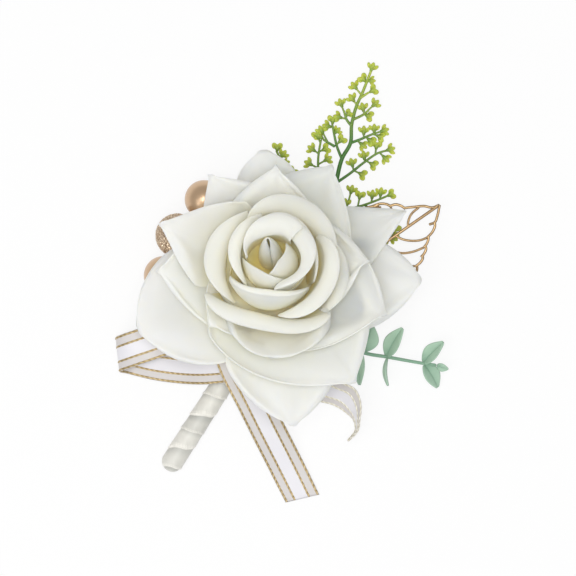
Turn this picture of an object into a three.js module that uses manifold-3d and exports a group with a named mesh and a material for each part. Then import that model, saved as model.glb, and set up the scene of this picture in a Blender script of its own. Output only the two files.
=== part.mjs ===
// A pin-on corsage: one open rose on a short satin-wrapped handle, with two pearl beads, a glitter berry,
// a hollow metal leaf, a fern sprig, a eucalyptus sprig and a striped ribbon.
// It lies face up. Millimetres, +Z up from the table, +Y towards the fern, +X towards the metal leaf.
// The origin is on the flat back of the handle, just below the flower.
import * as THREE from "three";
import { mergeVertices } from "three/addons/utils/BufferGeometryUtils.js";
import Module from "manifold-3d";

const wasm = await Module();
wasm.setup();

const degree = Math.PI / 180;

// Fits
const clearance = 0.3;
const mergeDistance = 1e-4;

// Rose head, in its own frame: the flower's axis is +Z and the seat of the petals is at z = 0
const headRadius = 42;
const headHeight = 35;
const headTilt = 10 * degree;
const headAcross = 2.3;
const headUp = 12.2;
const headLift = 11.5;

// Petals
const petalThickness = 0.5;
const seatRadius = 1.5;
const seatGap = 0.4;
const seatDrop = 0.7;
const seatHeight = 3.5;
const seatFillShare = 0.86;
const heartRadius = headRadius / 2;
const closedMarginLift = 0.75;
const closedLipFromShare = 0.66;
const shoulderShare = 0.72;
const lipTurn = 118 * degree;
const leastLip = 0.2;
const centreLean = [-1.3, 4.7];
const openMarginLift = 1.1;
const marginRollRadius = 2;
const marginRollLength = 3;
const leastRollShare = 0.4;
const leastBendShare = 1e-3;
const foldShare = 0.72;
const widestShare = 0.58;
const leastTipShare = 0.02;
const openLipFromShare = 0.97;
const openLipTurn = 100 * degree;
const lipRadius = 1.04;
const veinFold = 0.45;
const columnTurn = 16;

// Calyx and stem of the rose
const calyxRadius = 8.2;
const calyxDepth = 7;
const calyxNeckRadius = 2.2;
const coreRadius = 0.9;
const coreHeight = 21;
const roseStemRadius = 0.7;
const stemDrop = 1.6;
const stemRise = 0.2;

// Handle: the bundle of stems, wrapped in satin tape
const handleRadius = 3.1;
const handleLength = 50.7;
const handleMouth = 2.5;
const handleAngle = 57.3 * degree;
const handleFlat = 0.5;
const tapePitch = 7.4;
const tapeStep = 0.35;
const boreRadius = 2.5;
const boreDepth = 10;
const boreFloor = 0.35;
const bundleRadius = 1.6;

// Beads, berry and their wires
const beadRadius = 5.46;
const berryRadius = 6.3;
const berryGrain = 0.18;
const grainTurn = 5;
const trimWireRadius = 0.4;

// Metal leaf: cut sheet, raised slightly along the midrib
const leafLength = 49;
const leafHalfWidth = 12.5;
const leafStrip = 0.65;
const leafMidrib = 0.85;
const leafVein = 0.6;
const leafSheet = 0.5;
const leafArch = 1.6;
const leafWireRadius = 0.45;
const leafWireRun = [5, 0.4, 0.6];
const leafAcross = 10.1;
const leafUp = 4.8;
const leafLift = 4.6;
const leafAngle = 34.8 * degree;

// Fern sprig
const fernBlade = 34.4;
const fernAcross = 20.2;
const fernUp = 38.2;
const fernRouteShares = [[0.35, 0.36], [0.72, 0.7]];
const fernStemRadius = 0.55;
const fernTwigRadius = 0.35;
const leafletSize = 2.4;
const stalkShare = 0.1;
const stalkLeanShare = 0.7;
const leafletThickness = 0.9;

// Eucalyptus sprig
const eucalyptusStemRadius = 0.6;
const eucalyptusLeafThickness = 0.6;
const eucalyptusSpan = 50;
const leafFoldShare = 0.25;
const leafBowShare = 0.06;

// Ribbon
const ribbonSpan = 50;
const ribbonWidth = 9.8;
const ribbonThickness = 0.4;
const knotLength = 8.5;
const knotThickness = 0.6;
const knotPlace = -13;

const materials = {
  petal: new THREE.MeshStandardMaterial({ color: 0xf4f3ec, roughness: 0.75 }),
  heart: new THREE.MeshStandardMaterial({ color: 0xf6f2dc, roughness: 0.75 }),
  green: new THREE.MeshStandardMaterial({ color: 0x7f9a4b, roughness: 0.6 }),
  darkGreen: new THREE.MeshStandardMaterial({ color: 0x3f6b2c, roughness: 0.6 }),
  eucalyptus: new THREE.MeshStandardMaterial({ color: 0x8fb39a, roughness: 0.6 }),
  satin: new THREE.MeshStandardMaterial({ color: 0xe9e4d4, roughness: 0.4 }),
  ribbon: new THREE.MeshStandardMaterial({ color: 0xf3f1f2, roughness: 0.45 }),
  pearl: new THREE.MeshStandardMaterial({ color: 0xc39c72, roughness: 0.25, metalness: 0.4 }),
  glitter: new THREE.MeshStandardMaterial({ color: 0xcaa27c, roughness: 0.5, metalness: 0.5 }),
  gold: new THREE.MeshStandardMaterial({ color: 0xc99c6d, roughness: 0.3, metalness: 1 }),
};

const mix = (a, b, share) => a + (b - a) * share;
const smooth = (low, high, x) => {
  const t = Math.min(Math.max((x - low) / (high - low), 0), 1);
  return t * t * (3 - 2 * t);
};

// Closed bodies

function finish(geometry) {
  geometry.deleteAttribute("normal");
  geometry.deleteAttribute("uv");
  const merged = mergeVertices(geometry, mergeDistance);
  merged.computeVertexNormals();
  return merged;
}

// A thin closed sheet round a mid surface point(u, v), between the given stops of u and v.
function closedSheet(point, uStops, vStops, thickness) {
  const step = 1e-3;
  const columns = uStops.length;
  const rows = vStops.length;
  const positions = [];
  const faces = [];
  for (const side of [0.5, -0.5]) {
    for (const v of vStops) {
      for (const u of uStops) {
        const here = point(u, v);
        const uLow = Math.max(u - step, uStops[0]);
        const uHigh = Math.min(u + step, uStops[columns - 1]);
        const vLow = Math.max(v - step, vStops[0]);
        const vHigh = Math.min(v + step, vStops[rows - 1]);
        const alongU = point(uHigh, v).sub(point(uLow, v));
        const alongV = point(u, vHigh).sub(point(u, vLow));
        const normal = alongU.cross(alongV).normalize();
        here.addScaledVector(normal, side * thickness);
        positions.push(here.x, here.y, here.z);
      }
    }
  }
  const at = (side, row, column) => side * rows * columns + row * columns + column;
  const quad = (a, b, c, d) => faces.push(a, b, c, a, c, d);
  for (let row = 0; row + 1 < rows; row += 1) {
    for (let column = 0; column + 1 < columns; column += 1) {
      quad(at(0, row, column), at(0, row, column + 1), at(0, row + 1, column + 1), at(0, row + 1, column));
      quad(at(1, row, column), at(1, row + 1, column), at(1, row + 1, column + 1), at(1, row, column + 1));
    }
    const last = columns - 1;
    quad(at(0, row, 0), at(0, row + 1, 0), at(1, row + 1, 0), at(1, row, 0));
    quad(at(0, row, last), at(1, row, last), at(1, row + 1, last), at(0, row + 1, last));
  }
  for (let column = 0; column + 1 < columns; column += 1) {
    const last = rows - 1;
    quad(at(0, 0, column), at(1, 0, column), at(1, 0, column + 1), at(0, 0, column + 1));
    quad(at(0, last, column), at(0, last, column + 1), at(1, last, column + 1), at(1, last, column));
  }
  const geometry = new THREE.BufferGeometry();
  geometry.setAttribute("position", new THREE.Float32BufferAttribute(positions, 3));
  geometry.setIndex(faces);
  return finish(geometry);
}

// A round rod along a smooth line through the given points.
function rod(points, radius, steps, sides = 8) {
  const ring = new THREE.Shape();
  for (let side = 0; side < sides; side += 1) {
    const angle = (side / sides) * 2 * Math.PI;
    const x = radius * Math.cos(angle);
    const y = radius * Math.sin(angle);
    if (side === 0) ring.moveTo(x, y);
    else ring.lineTo(x, y);
  }
  ring.closePath();
  const path = new THREE.CatmullRomCurve3(points.map((p) => new THREE.Vector3(...p)), false, "centripetal");
  return finish(new THREE.ExtrudeGeometry(ring, { steps, extrudePath: path, bevelEnabled: false }));
}

function toSolid(geometry) {
  const merged = finish(geometry.clone());
  return new wasm.Manifold(
    new wasm.Mesh({
      numProp: 3,
      vertProperties: new Float32Array(merged.attributes.position.array),
      triVerts: new Uint32Array(merged.index.array),
    }),
  );
}

function joined(geometries) {
  let solid = toSolid(geometries[0]);
  for (const geometry of geometries.slice(1)) solid = solid.add(toSolid(geometry));
  const mesh = solid.getMesh();
  const geometry = new THREE.BufferGeometry();
  geometry.setAttribute("position", new THREE.Float32BufferAttribute(mesh.vertProperties, 3));
  geometry.setIndex(Array.from(mesh.triVerts));
  return finish(geometry);
}

const corsage = new THREE.Group();
const head = new THREE.Group();
head.position.set(headAcross, headUp, headLift);
head.rotation.x = -headTilt;
corsage.add(head);

function place(parent, name, geometry, material) {
  const mesh = new THREE.Mesh(geometry, material);
  mesh.name = name;
  parent.add(mesh);
  return mesh;
}

// Petals Each whorl has a profile, a Bezier curve from the seat to the rim. Shares are of the head's
// radius and height: first pull, second pull, rim. The closed whorls of the heart take only the first
// pull from it.
const whorls = {
  centre: { count: 2, radiusShares: [0.076], heightShares: [0.29] },
  bud: { count: 3, radiusShares: [0.133], heightShares: [0.26] },
  heart: { count: 3, radiusShares: [0.2], heightShares: [0.23] },
  inner: { count: 4, radiusShares: [0.267], heightShares: [0.2] },
  cup: { count: 4, radiusShares: [0.345], heightShares: [0.18] },
  middle: { count: 5, radiusShares: [0.405, 0.476, 0.714], heightShares: [0.1, 0.357, 0.53] },
  outer: { count: 5, radiusShares: [0.452, 0.62, 0.881], heightShares: [0.034, 0.257, 0.343] },
  guard: { count: 5, radiusShares: [0.5, 0.738, 1], heightShares: [-0.029, 0.129, 0.143] },
};
const whorlNames = Object.keys(whorls);

// Petals of the closed heart. Each has the directions of its two margins in degrees, the side of its
// neighbours on which the foot of each margin lies (1 outside, -1 inside), the height of its wall, and
// how far that drops to the margins. Then, at five places from margin to margin, the radius of its
// shoulder, that of its throat, where the wall ends, and the width of its rolled lip. Heights are shares
// of the head's height, radii of the heart's radius.
const closedPetals = [
  {
    name: "centre_petal_left",
    whorl: "centre",
    from: 40,
    to: 350,
    feet: [1, -1],
    wallShare: 0.89,
    dropShare: 0.2,
    shoulderShares: [0.23, 0.23, 0.23, 0.23, 0.23],
    throatShares: [0.05, 0.03, 0.03, 0.03, 0.05],
    leanShare: 1,
  },
  {
    name: "centre_petal_right",
    whorl: "centre",
    from: -102,
    to: 48,
    feet: [1, -1],
    wallShare: 0.86,
    dropShare: 0.1,
    shoulderShares: [0.41, 0.5, 0.6, 0.57, 0.37],
    throatShares: [0.21, 0.12, 0.1, 0.15, 0.27],
  },
  {
    name: "bud_petal_left",
    whorl: "bud",
    from: 172,
    to: 314,
    feet: [1, -1],
    wallShare: 0.81,
    dropShare: 0.2,
    shoulderShares: [0.46, 0.52, 0.57, 0.52, 0.44],
    throatShares: [0.4, 0.26, 0.22, 0.26, 0.34],
  },
  {
    name: "bud_petal_right",
    whorl: "bud",
    from: -86,
    to: 60,
    feet: [1, 1],
    wallShare: 0.77,
    dropShare: 0.12,
    shoulderShares: [0.6, 0.54, 0.51, 0.48, 0.49],
    throatShares: [0.41, 0.37, 0.4, 0.38, 0.43],
    lipShares: [0.02, 0.1, 0.15, 0.22, 0.08],
  },
  {
    name: "bud_petal_top",
    whorl: "bud",
    from: 42,
    to: 178,
    feet: [-1, -1],
    wallShare: 0.82,
    dropShare: 0.05,
    shoulderShares: [0.38, 0.39, 0.4, 0.4, 0.39],
    throatShares: [0.32, 0.32, 0.3, 0.34, 0.32],
    lipShares: [0.23, 0.25, 0.22, 0.02, 0.01],
  },
  {
    name: "heart_petal_front",
    whorl: "heart",
    from: 198,
    to: 326,
    feet: [1, -1],
    wallShare: 0.7,
    dropShare: 0.2,
    shoulderShares: [0.67, 0.79, 0.86, 0.79, 0.66],
    throatShares: [0.58, 0.49, 0.43, 0.48, 0.58],
    lipShares: [0.01, 0.06, 0.06, 0.06, 0.01],
  },
  {
    name: "heart_petal_right",
    whorl: "heart",
    from: -26,
    to: 110,
    feet: [1, -1],
    wallShare: 0.7,
    dropShare: 0.2,
    shoulderShares: [0.6, 0.58, 0.57, 0.57, 0.53],
    throatShares: [0.6, 0.57, 0.56, 0.58, 0.53],
    lipShares: [0.02, 0.04, 0.07, 0.07, 0.02],
  },
  {
    name: "heart_petal_top",
    whorl: "heart",
    from: 102,
    to: 228,
    feet: [1, -1],
    wallShare: 0.69,
    dropShare: 0.2,
    shoulderShares: [0.65, 0.55, 0.52, 0.51, 0.53],
    throatShares: [0.64, 0.49, 0.44, 0.43, 0.47],
    lipShares: [0.03, 0.14, 0.16, 0.1, 0.01],
  },
  {
    name: "inner_petal_left",
    whorl: "inner",
    from: 136,
    to: 194,
    feet: [1, -1],
    wallShare: 0.43,
    dropShare: 0.2,
    shoulderShares: [0.57, 0.52, 0.51, 0.52, 0.57],
    throatShares: [0.59, 0.54, 0.52, 0.54, 0.58],
  },
  {
    name: "inner_petal_bottom",
    whorl: "inner",
    from: 222,
    to: 275,
    feet: [1, -1],
    wallShare: 0.33,
    dropShare: 0.2,
    shoulderShares: [0.57, 0.59, 0.6, 0.6, 0.59],
    throatShares: [0.57, 0.6, 0.61, 0.61, 0.6],
  },
  {
    name: "inner_petal_right",
    whorl: "inner",
    from: -84,
    to: 32,
    feet: [1, -1],
    wallShare: 0.6,
    dropShare: 0.2,
    shoulderShares: [0.66, 0.65, 0.66, 0.68, 0.68],
    throatShares: [0.68, 0.67, 0.68, 0.7, 0.68],
    lipShares: [0.02, 0.2, 0.22, 0.19, 0.05],
  },
  {
    name: "inner_petal_top",
    whorl: "inner",
    from: 40,
    to: 130,
    feet: [1, -1],
    wallShare: 0.43,
    dropShare: 0.2,
    shoulderShares: [0.62, 0.63, 0.64, 0.64, 0.64],
    throatShares: [0.63, 0.64, 0.65, 0.64, 0.64],
  },
  {
    name: "cup_petal_left",
    whorl: "cup",
    from: 114,
    to: 226,
    feet: [1, -1],
    wallShare: 0.44,
    dropShare: 0.15,
    shoulderShares: [0.75, 0.63, 0.6, 0.64, 0.69],
    throatShares: [0.76, 0.65, 0.63, 0.65, 0.68],
    lipShares: [0.05, 0.21, 0.28, 0.2, 0.03],
  },
  {
    name: "cup_petal_bottom",
    whorl: "cup",
    from: 203,
    to: 319,
    feet: [1, -1],
    wallShare: 0.44,
    dropShare: 0.1,
    shoulderShares: [0.88, 0.76, 0.72, 0.79, 0.91],
    throatShares: [0.91, 0.73, 0.68, 0.78, 0.94],
    lipShares: [0.06, 0.24, 0.23, 0.22, 0.09],
  },
  {
    name: "cup_petal_right",
    whorl: "cup",
    from: 322,
    to: 380,
    feet: [1, 1],
    wallShare: 0.36,
    dropShare: 0.02,
    shoulderShares: [0.82, 0.82, 0.82, 0.81, 0.8],
    throatShares: [0.88, 0.86, 0.85, 0.84, 0.83],
    lipShares: [0.08, 0.16, 0.18, 0.15, 0.08],
  },
  {
    name: "cup_petal_top",
    whorl: "cup",
    from: 16,
    to: 119,
    feet: [-1, -1],
    wallShare: 0.46,
    dropShare: 0.15,
    shoulderShares: [0.75, 0.71, 0.7, 0.7, 0.7],
    throatShares: [0.77, 0.72, 0.71, 0.7, 0.69],
    lipShares: [0.13, 0.24, 0.26, 0.2, 0.02],
  },
];

// Petals that lie open: the direction of the tip in degrees, how far along the profile it reaches, its
// half width, how blunt its tip is, how far it is raised at its left margin, how far its margins roll,
// the width of each side where they differ, and how wavy its rim is.
const openPetals = [
  {
    name: "middle_petal_right",
    whorl: "middle",
    tip: 2,
    reachShare: 0.82,
    widthShare: 0.345,
    bluntShare: 0,
  },
  {
    name: "middle_petal_top",
    whorl: "middle",
    tip: 87,
    reachShare: 0.88,
    widthShare: 0.325,
    bluntShare: 0,
  },
  {
    name: "middle_petal_left",
    whorl: "middle",
    tip: 160,
    reachShare: 1.06,
    widthShare: 0.372,
    bluntShare: 0,
    rollShare: 0.8,
    sideShares: [1, 0.6],
  },
  {
    name: "middle_petal_left_lower",
    whorl: "middle",
    tip: 222,
    reachShare: 0.7,
    widthShare: 0.222,
    bluntShare: 0.6,
    rollShare: 0.5,
  },
  {
    name: "middle_petal_bottom",
    whorl: "middle",
    tip: 275,
    reachShare: 0.8,
    widthShare: 0.325,
    bluntShare: 0.95,
    waveShare: 0.035,
  },
  {
    name: "outer_petal_top",
    whorl: "outer",
    tip: 60,
    reachShare: 0.86,
    widthShare: 0.385,
    bluntShare: 0,
  },
  {
    name: "outer_petal_left_upper",
    whorl: "outer",
    tip: 123,
    reachShare: 0.8,
    widthShare: 0.379,
    bluntShare: 0,
    rollShare: 0.6,
    sideShares: [1, 0.7],
  },
  {
    name: "outer_petal_left",
    whorl: "outer",
    tip: 180,
    reachShare: 0.79,
    widthShare: 0.392,
    bluntShare: 0,
    rollShare: 0.8,
  },
  {
    name: "outer_petal_bottom",
    whorl: "outer",
    tip: 305,
    reachShare: 1.04,
    widthShare: 0.536,
    bluntShare: 0.1,
    raiseShare: -0.4,
    rollShare: 0.7,
    sideShares: [1.5, 1],
  },
  {
    name: "outer_petal_right",
    whorl: "outer",
    tip: 337,
    reachShare: 0.88,
    widthShare: 0.399,
    bluntShare: 0.15,
    raiseShare: 1.4,
    rollShare: 0.6,
    sideShares: [1.35, 1],
  },
  {
    name: "guard_petal_right",
    whorl: "guard",
    tip: 357,
    reachShare: 0.96,
    widthShare: 0.325,
    bluntShare: 0.4,
    sideShares: [1, 0.7],
  },
  {
    name: "guard_petal_right_upper",
    whorl: "guard",
    tip: 25,
    reachShare: 0.95,
    widthShare: 0.325,
    bluntShare: 0,
    sideShares: [0.5, 0.45],
  },
  {
    name: "guard_petal_top",
    whorl: "guard",
    tip: 94,
    reachShare: 0.755,
    widthShare: 0.235,
    bluntShare: 0.7,
    rollShare: 0.4,
  },
  {
    name: "guard_petal_left_lower",
    whorl: "guard",
    tip: 203,
    reachShare: 0.93,
    widthShare: 0.385,
    bluntShare: 0.55,
  },
  {
    name: "guard_petal_bottom",
    whorl: "guard",
    tip: 277.5,
    reachShare: 1.02,
    widthShare: 0.345,
    bluntShare: 0.3,
  },
];

function bezier(values, s) {
  const r = 1 - s;
  const ends = r * r * r * values[0] + s * s * s * values[3];
  return ends + 3 * r * r * s * values[1] + 3 * r * s * s * values[2];
}

function bezierSlope(values, s) {
  const r = 1 - s;
  const ends = 3 * r * r * (values[1] - values[0]) + 3 * s * s * (values[3] - values[2]);
  return ends + 6 * r * s * (values[2] - values[1]);
}

// The smooth curve that passes five evenly spaced values as u runs from -1 to 1.
function through(values, u) {
  const places = values.map((_, index) => mix(-1, 1, index / (values.length - 1)));
  return values.reduce((total, value, index) => {
    const here = places[index];
    const others = places.filter((place) => place !== here);
    return total + others.reduce((product, place) => (product * (u - place)) / (here - place), value);
  }, 0);
}

// A direction plus or minus whole turns, so that it lies within half a turn of another.
const near = (angle, other) => other + ((((angle - other) % 360) + 540) % 360) - 180;

// Where a petal sits in its whorl, and how it rises from the seat; the seats of a whorl are evenly spaced.
function seating(petal, mates, tipOf) {
  const whorl = whorls[petal.whorl];
  const level = whorlNames.indexOf(petal.whorl);
  const step = 360 / whorl.count;
  const firstTip = tipOf(mates[0]);
  const firstSeats = mates.map((mate, turn) => near(tipOf(mate) - step * turn, firstTip));
  const firstSeat = firstSeats.reduce((total, seat) => total + seat, 0) / mates.length;
  const seatAngle = firstSeat + step * mates.indexOf(petal);
  const ownSeatRadius = seatRadius + level * (petalThickness + seatGap);
  return {
    seatAngle,
    tipAngle: near(tipOf(petal), seatAngle),
    radii: [ownSeatRadius, ...whorl.radiusShares.map((share) => share * headRadius)],
    heights: [seatHeight - level * seatDrop, ...whorl.heightShares.map((share) => share * headHeight)],
  };
}

// The middle of a closed petal, from margin to margin and from seat to outer edge. The profile swells to
// the shoulder and ends at the throat; from there the lip rolls outward as an arc that starts along the
// wall.
function closedSurface(petal) {
  const mates = closedPetals.filter((other) => other.whorl === petal.whorl);
  const middleOf = (mate) => (mate.from + mate.to) / 2;
  const { seatAngle, tipAngle, radii, heights } = seating(petal, mates, middleOf);
  const wallHeight = petal.wallShare * headHeight;
  const lipFrom = petal.lipShares ? closedLipFromShare : 1;
  return (u, v) => {
    const wall = Math.min(v / lipFrom, 1);
    const foot = radii[1] + closedMarginLift * mix(petal.feet[0], petal.feet[1], (u + 1) / 2);
    const shoulder = through(petal.shoulderShares, u) * heartRadius;
    const throat = through(petal.throatShares, u) * heartRadius;
    const top = wallHeight * (1 - petal.dropShare * Math.abs(u) ** 4);
    const shoulderHeight = shoulderShare * top;
    let radius = bezier([radii[0], foot, shoulder, throat], wall);
    let height = bezier([heights[0], heights[1], shoulderHeight, top], wall);
    if (petal.lipShares) {
      const lipWidth = Math.max(through(petal.lipShares, u) * heartRadius, leastLip);
      const lean = Math.atan2(throat - shoulder, top - shoulderHeight);
      const curl = (Math.max(...petal.lipShares) * heartRadius) / (1 - Math.cos(lipTurn));
      const last = Math.acos(Math.max(Math.cos(lean) - lipWidth / curl, -1));
      const turn = mix(lean, last, Math.max((v - lipFrom) / (1 - lipFrom), 0));
      radius += curl * (Math.cos(lean) - Math.cos(turn));
      height += curl * (Math.sin(turn) - Math.sin(lean));
    }
    const seatReach = (180 / mates.length) * seatFillShare;
    const reach = mix(seatReach, (petal.to - petal.from) / 2, smooth(0.05, 0.6, wall));
    const angle = (mix(seatAngle, tipAngle, smooth(0, 0.6, wall)) + reach * u) * degree;
    const lean = (petal.leanShare ?? 0) * Math.min(Math.max(height / wallHeight, 0), 1) ** 2;
    return new THREE.Vector3(
      radius * Math.cos(angle) + lean * centreLean[0],
      radius * Math.sin(angle) + lean * centreLean[1],
      height,
    );
  };
}

// The middle of an open petal. It is wrapped on its whorl, as wide as a rising and then narrowing curve
// allows. Its margins lie over one neighbour and under the other and roll back as an arc; its tip rolls
// over as a second arc.
function openSurface(petal) {
  const mates = openPetals.filter((other) => other.whorl === petal.whorl);
  const { seatAngle, tipAngle, radii, heights } = seating(petal, mates, (mate) => mate.tip);
  const halfWidth = petal.widthShare * headRadius;
  const seatWidth = (radii[0] * Math.PI * seatFillShare) / mates.length;
  const seatHalfWidth = Math.max(seatWidth - marginRollLength * leastRollShare, clearance);
  const rollShare = petal.rollShare ?? 1;
  const sideShares = petal.sideShares ?? [1, 1];

  return (u, v) => {
    const body = Math.min(v / openLipFromShare, 1);
    const lip = Math.max((v - openLipFromShare) / (1 - openLipFromShare), 0);
    const wave = (petal.waveShare ?? 0) * Math.sin(2.5 * Math.PI * u) * smooth(0.5, 1, v);
    const s = (petal.reachShare + wave) * body;
    const rise = Math.min(v / widestShare, 1);
    const fall = Math.max((v - widestShare) / (1 - widestShare), 0);
    const grown = mix(seatHalfWidth, halfWidth, Math.sin((rise * Math.PI) / 2) ** 2);
    const narrowed = (1 - fall ** mix(1, 2.6, petal.bluntShare)) ** mix(1.3, 0.5, petal.bluntShare);
    const sideShare = mix(1, sideShares[u < 0 ? 0 : 1], smooth(0, 0.5, v));
    const half = grown * mix(leastTipShare, 1, narrowed) * sideShare;

    // across the petal: flat, then rolled back along the margin
    const side = Math.sign(u);
    const across = Math.min(Math.abs(u) / foldShare, 1) * half;
    const rollStart = mix(leastRollShare, 1, smooth(0, 0.5, v));
    const rollEnd = (1 - 0.4 * fall) * (1 - fall ** 6) * rollShare;
    const pastFold = Math.max((Math.abs(u) - foldShare) / (1 - foldShare), 0);
    const rolled = pastFold * marginRollLength * rollStart * rollEnd;
    const bend = (Math.max(smooth(0.5, 0.9, v), leastBendShare) * rollShare) / marginRollRadius;
    const sideways = across + Math.sin(rolled * bend) / bend;
    const marginDrop = (1 - Math.cos(rolled * bend)) / bend;

    // along the petal: the profile, then the rolled lip
    const outward = lipRadius * Math.sin(lip * openLipTurn);
    const lipDrop = lipRadius * (1 - Math.cos(lip * openLipTurn));
    const vein = veinFold * Math.exp(-((u / 0.4) ** 2)) * smooth(0.3, 0.6, v) * (1 - smooth(0.6, 0.9, v));

    const slopeR = bezierSlope(radii, s);
    const slopeZ = bezierSlope(heights, s);
    const slope = Math.hypot(slopeR, slopeZ);
    const over = -openMarginLift * u * smooth(0.04, 0.36, v);
    const raised = (petal.raiseShare ?? 0) * openMarginLift * smooth(0.04, 0.36, v) * (1 - u) * 0.5;
    const lift = over + raised - marginDrop - lipDrop - vein;
    const middleRadius = bezier(radii, s) + (outward * slopeR) / slope;
    const radius = middleRadius - (lift * slopeZ) / slope;
    const height = bezier(heights, s) + (outward * slopeZ) / slope + (lift * slopeR) / slope;
    const middle = mix(seatAngle, tipAngle, smooth(0, 0.55, v)) * degree;
    const angle = middle + (side * sideways) / Math.max(middleRadius, seatRadius);
    return new THREE.Vector3(radius * Math.cos(angle), radius * Math.sin(angle), height);
  };
}

// Stops from margin to margin: one for about each step of turn.
function evenStops(turn, step) {
  const count = 2 * Math.round(turn / step / 2);
  return Array.from({ length: count + 1 }, (_, index) => mix(-1, 1, index / count));
}

const lipRows = [0, 0.22, 0.44, 0.66, 0.77, 0.89, 1];
const wallRows = [0, 0.25, 0.5, 0.76, 1];
for (const petal of closedPetals) {
  const columns = evenStops(petal.to - petal.from, columnTurn);
  const rows = petal.lipShares ? lipRows : wallRows;
  const geometry = closedSheet(closedSurface(petal), columns, rows, petalThickness);
  place(head, petal.name, geometry, materials.heart);
}
const openColumns = [-1, -0.86, -0.72, -0.36, 0, 0.36, 0.72, 0.86, 1];
const openRows = [0, 0.22, 0.42, 0.58, 0.74, 0.88, 0.96, 1];
for (const petal of openPetals) {
  const geometry = closedSheet(openSurface(petal), openColumns, openRows, petalThickness);
  place(head, petal.name, geometry, materials.petal);
}

// Core, calyx and stem of the rose

const lastSeatRadius = seatRadius + (whorlNames.length - 1) * (petalThickness + seatGap);
const lastSeatHeight = seatHeight - (whorlNames.length - 1) * seatDrop;
const calyxTop = seatHeight - petalThickness - clearance;
const calyxEdge = lastSeatHeight - petalThickness - clearance;

function lathe(profile, segments) {
  const outline = profile.map(([r, z]) => new THREE.Vector2(r, z));
  return finish(new THREE.LatheGeometry(outline, segments).rotateX(Math.PI / 2));
}

place(
  head,
  "rose_core",
  lathe(
    [
      [0, calyxTop + clearance],
      [coreRadius, calyxTop + clearance],
      [coreRadius, coreHeight * 0.7],
      [0, coreHeight],
    ],
    12,
  ),
  materials.green,
);
place(
  head,
  "rose_calyx",
  lathe(
    [
      [0, -calyxDepth],
      [calyxNeckRadius, -calyxDepth],
      [calyxNeckRadius, -0.75 * calyxDepth],
      [calyxRadius * 0.7, -0.6 * calyxDepth],
      [calyxRadius, calyxEdge - petalThickness],
      [lastSeatRadius, calyxEdge],
      [0, calyxTop],
    ],
    24,
  ),
  materials.green,
);

// Handle

const along = [Math.cos(handleAngle), Math.sin(handleAngle)];
const axisHeight = handleRadius - handleFlat;

// A place in the handle: its distance along the axis, to the left of it and above it.
function inHandle(distance, left, above) {
  return [along[0] * distance - along[1] * left, along[1] * distance + along[0] * left, axisHeight + above];
}

function stemWrap() {
  const sides = 16;
  const turns = handleLength / tapePitch;
  const stations = Math.round(turns * 5);
  const stationStep = handleLength / stations;
  const rings = [];
  const end = -handleLength + handleMouth;
  const ring = (distance, radiusAt, floor) => {
    const points = [];
    for (let side = 0; side < sides; side += 1) {
      const angle = (side / sides) * 2 * Math.PI;
      const radius = radiusAt(angle);
      const [x, y, z] = inHandle(distance, radius * Math.cos(angle), radius * Math.sin(angle));
      points.push([x, y, Math.max(z, floor)]);
    }
    return points;
  };
  const tape = (distance) => (angle) => {
    const turn = (distance - end) / tapePitch + angle / (2 * Math.PI);
    const rounded = Math.sqrt(Math.max(1 - ((end + handleRadius - distance) / handleRadius) ** 2, 0.2));
    const share = distance < end + handleRadius ? rounded : 1;
    return (handleRadius + tapeStep * (turn - Math.floor(turn)) - tapeStep / 2) * share;
  };
  for (let station = 0; station <= stations; station += 1) {
    const distance = mix(end, handleMouth, station / stations);
    const seat = Math.abs(distance - knotPlace) < knotLength / 2 + clearance + stationStep;
    rings.push(ring(distance, tape(distance), seat ? knotThickness + clearance : 0));
  }
  rings.push(ring(handleMouth, () => boreRadius, boreFloor));
  rings.push(ring(handleMouth - boreDepth, () => boreRadius, boreFloor));
  const positions = rings.flat(2);
  const faces = [];
  for (let row = 0; row + 1 < rings.length; row += 1) {
    for (let side = 0; side < sides; side += 1) {
      const next = (side + 1) % sides;
      const [a, b] = [row * sides + side, row * sides + next];
      faces.push(a, b, b + sides, a, b + sides, a + sides);
    }
  }
  const caps = [
    [0, inHandle(end - 0.15 * handleRadius, 0, 0), true],
    [(rings.length - 1) * sides, inHandle(handleMouth - boreDepth, 0, 0), false],
  ];
  for (const [first, middle, outer] of caps) {
    const hub = positions.length / 3;
    positions.push(...middle);
    for (let side = 0; side < sides; side += 1) {
      const next = (side + 1) % sides;
      if (outer) faces.push(hub, first + next, first + side);
      else faces.push(hub, first + side, first + next);
    }
  }
  const geometry = new THREE.BufferGeometry();
  geometry.setAttribute("position", new THREE.Float32BufferAttribute(positions, 3));
  geometry.setIndex(faces);
  return finish(geometry);
}
place(corsage, "stem_wrap", stemWrap(), materials.satin);

// Stems in the bundle: each sits in its own slot round the middle one.
const slot = (turn) => [bundleRadius * Math.cos(turn * degree), bundleRadius * Math.sin(turn * degree)];
const bundled = (turn) => [
  inHandle(handleMouth - boreDepth + 2 * clearance, ...slot(turn)),
  inHandle(handleMouth - boreDepth / 2, ...slot(turn)),
  inHandle(handleMouth + clearance, ...slot(turn)),
];

const onAxis = (height) => new THREE.Vector3(0, 0, height).applyEuler(head.rotation).add(head.position);
const calyxFoot = onAxis(-calyxDepth - clearance);
const calyxBelow = onAxis(-calyxDepth - stemDrop);
const mouth = inHandle(handleMouth, 0, 0);
place(
  corsage,
  "rose_stem",
  rod(
    [
      inHandle(handleMouth - boreDepth + 2 * clearance, 0, 0),
      inHandle(handleMouth - boreDepth / 2, 0, 0),
      mouth,
      [mix(mouth[0], calyxBelow.x, 0.75), mix(mouth[1], calyxBelow.y, 0.72), axisHeight + stemRise],
      calyxBelow.toArray(),
      calyxFoot.toArray(),
    ],
    roseStemRadius,
    16,
  ),
  materials.green,
);

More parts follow.
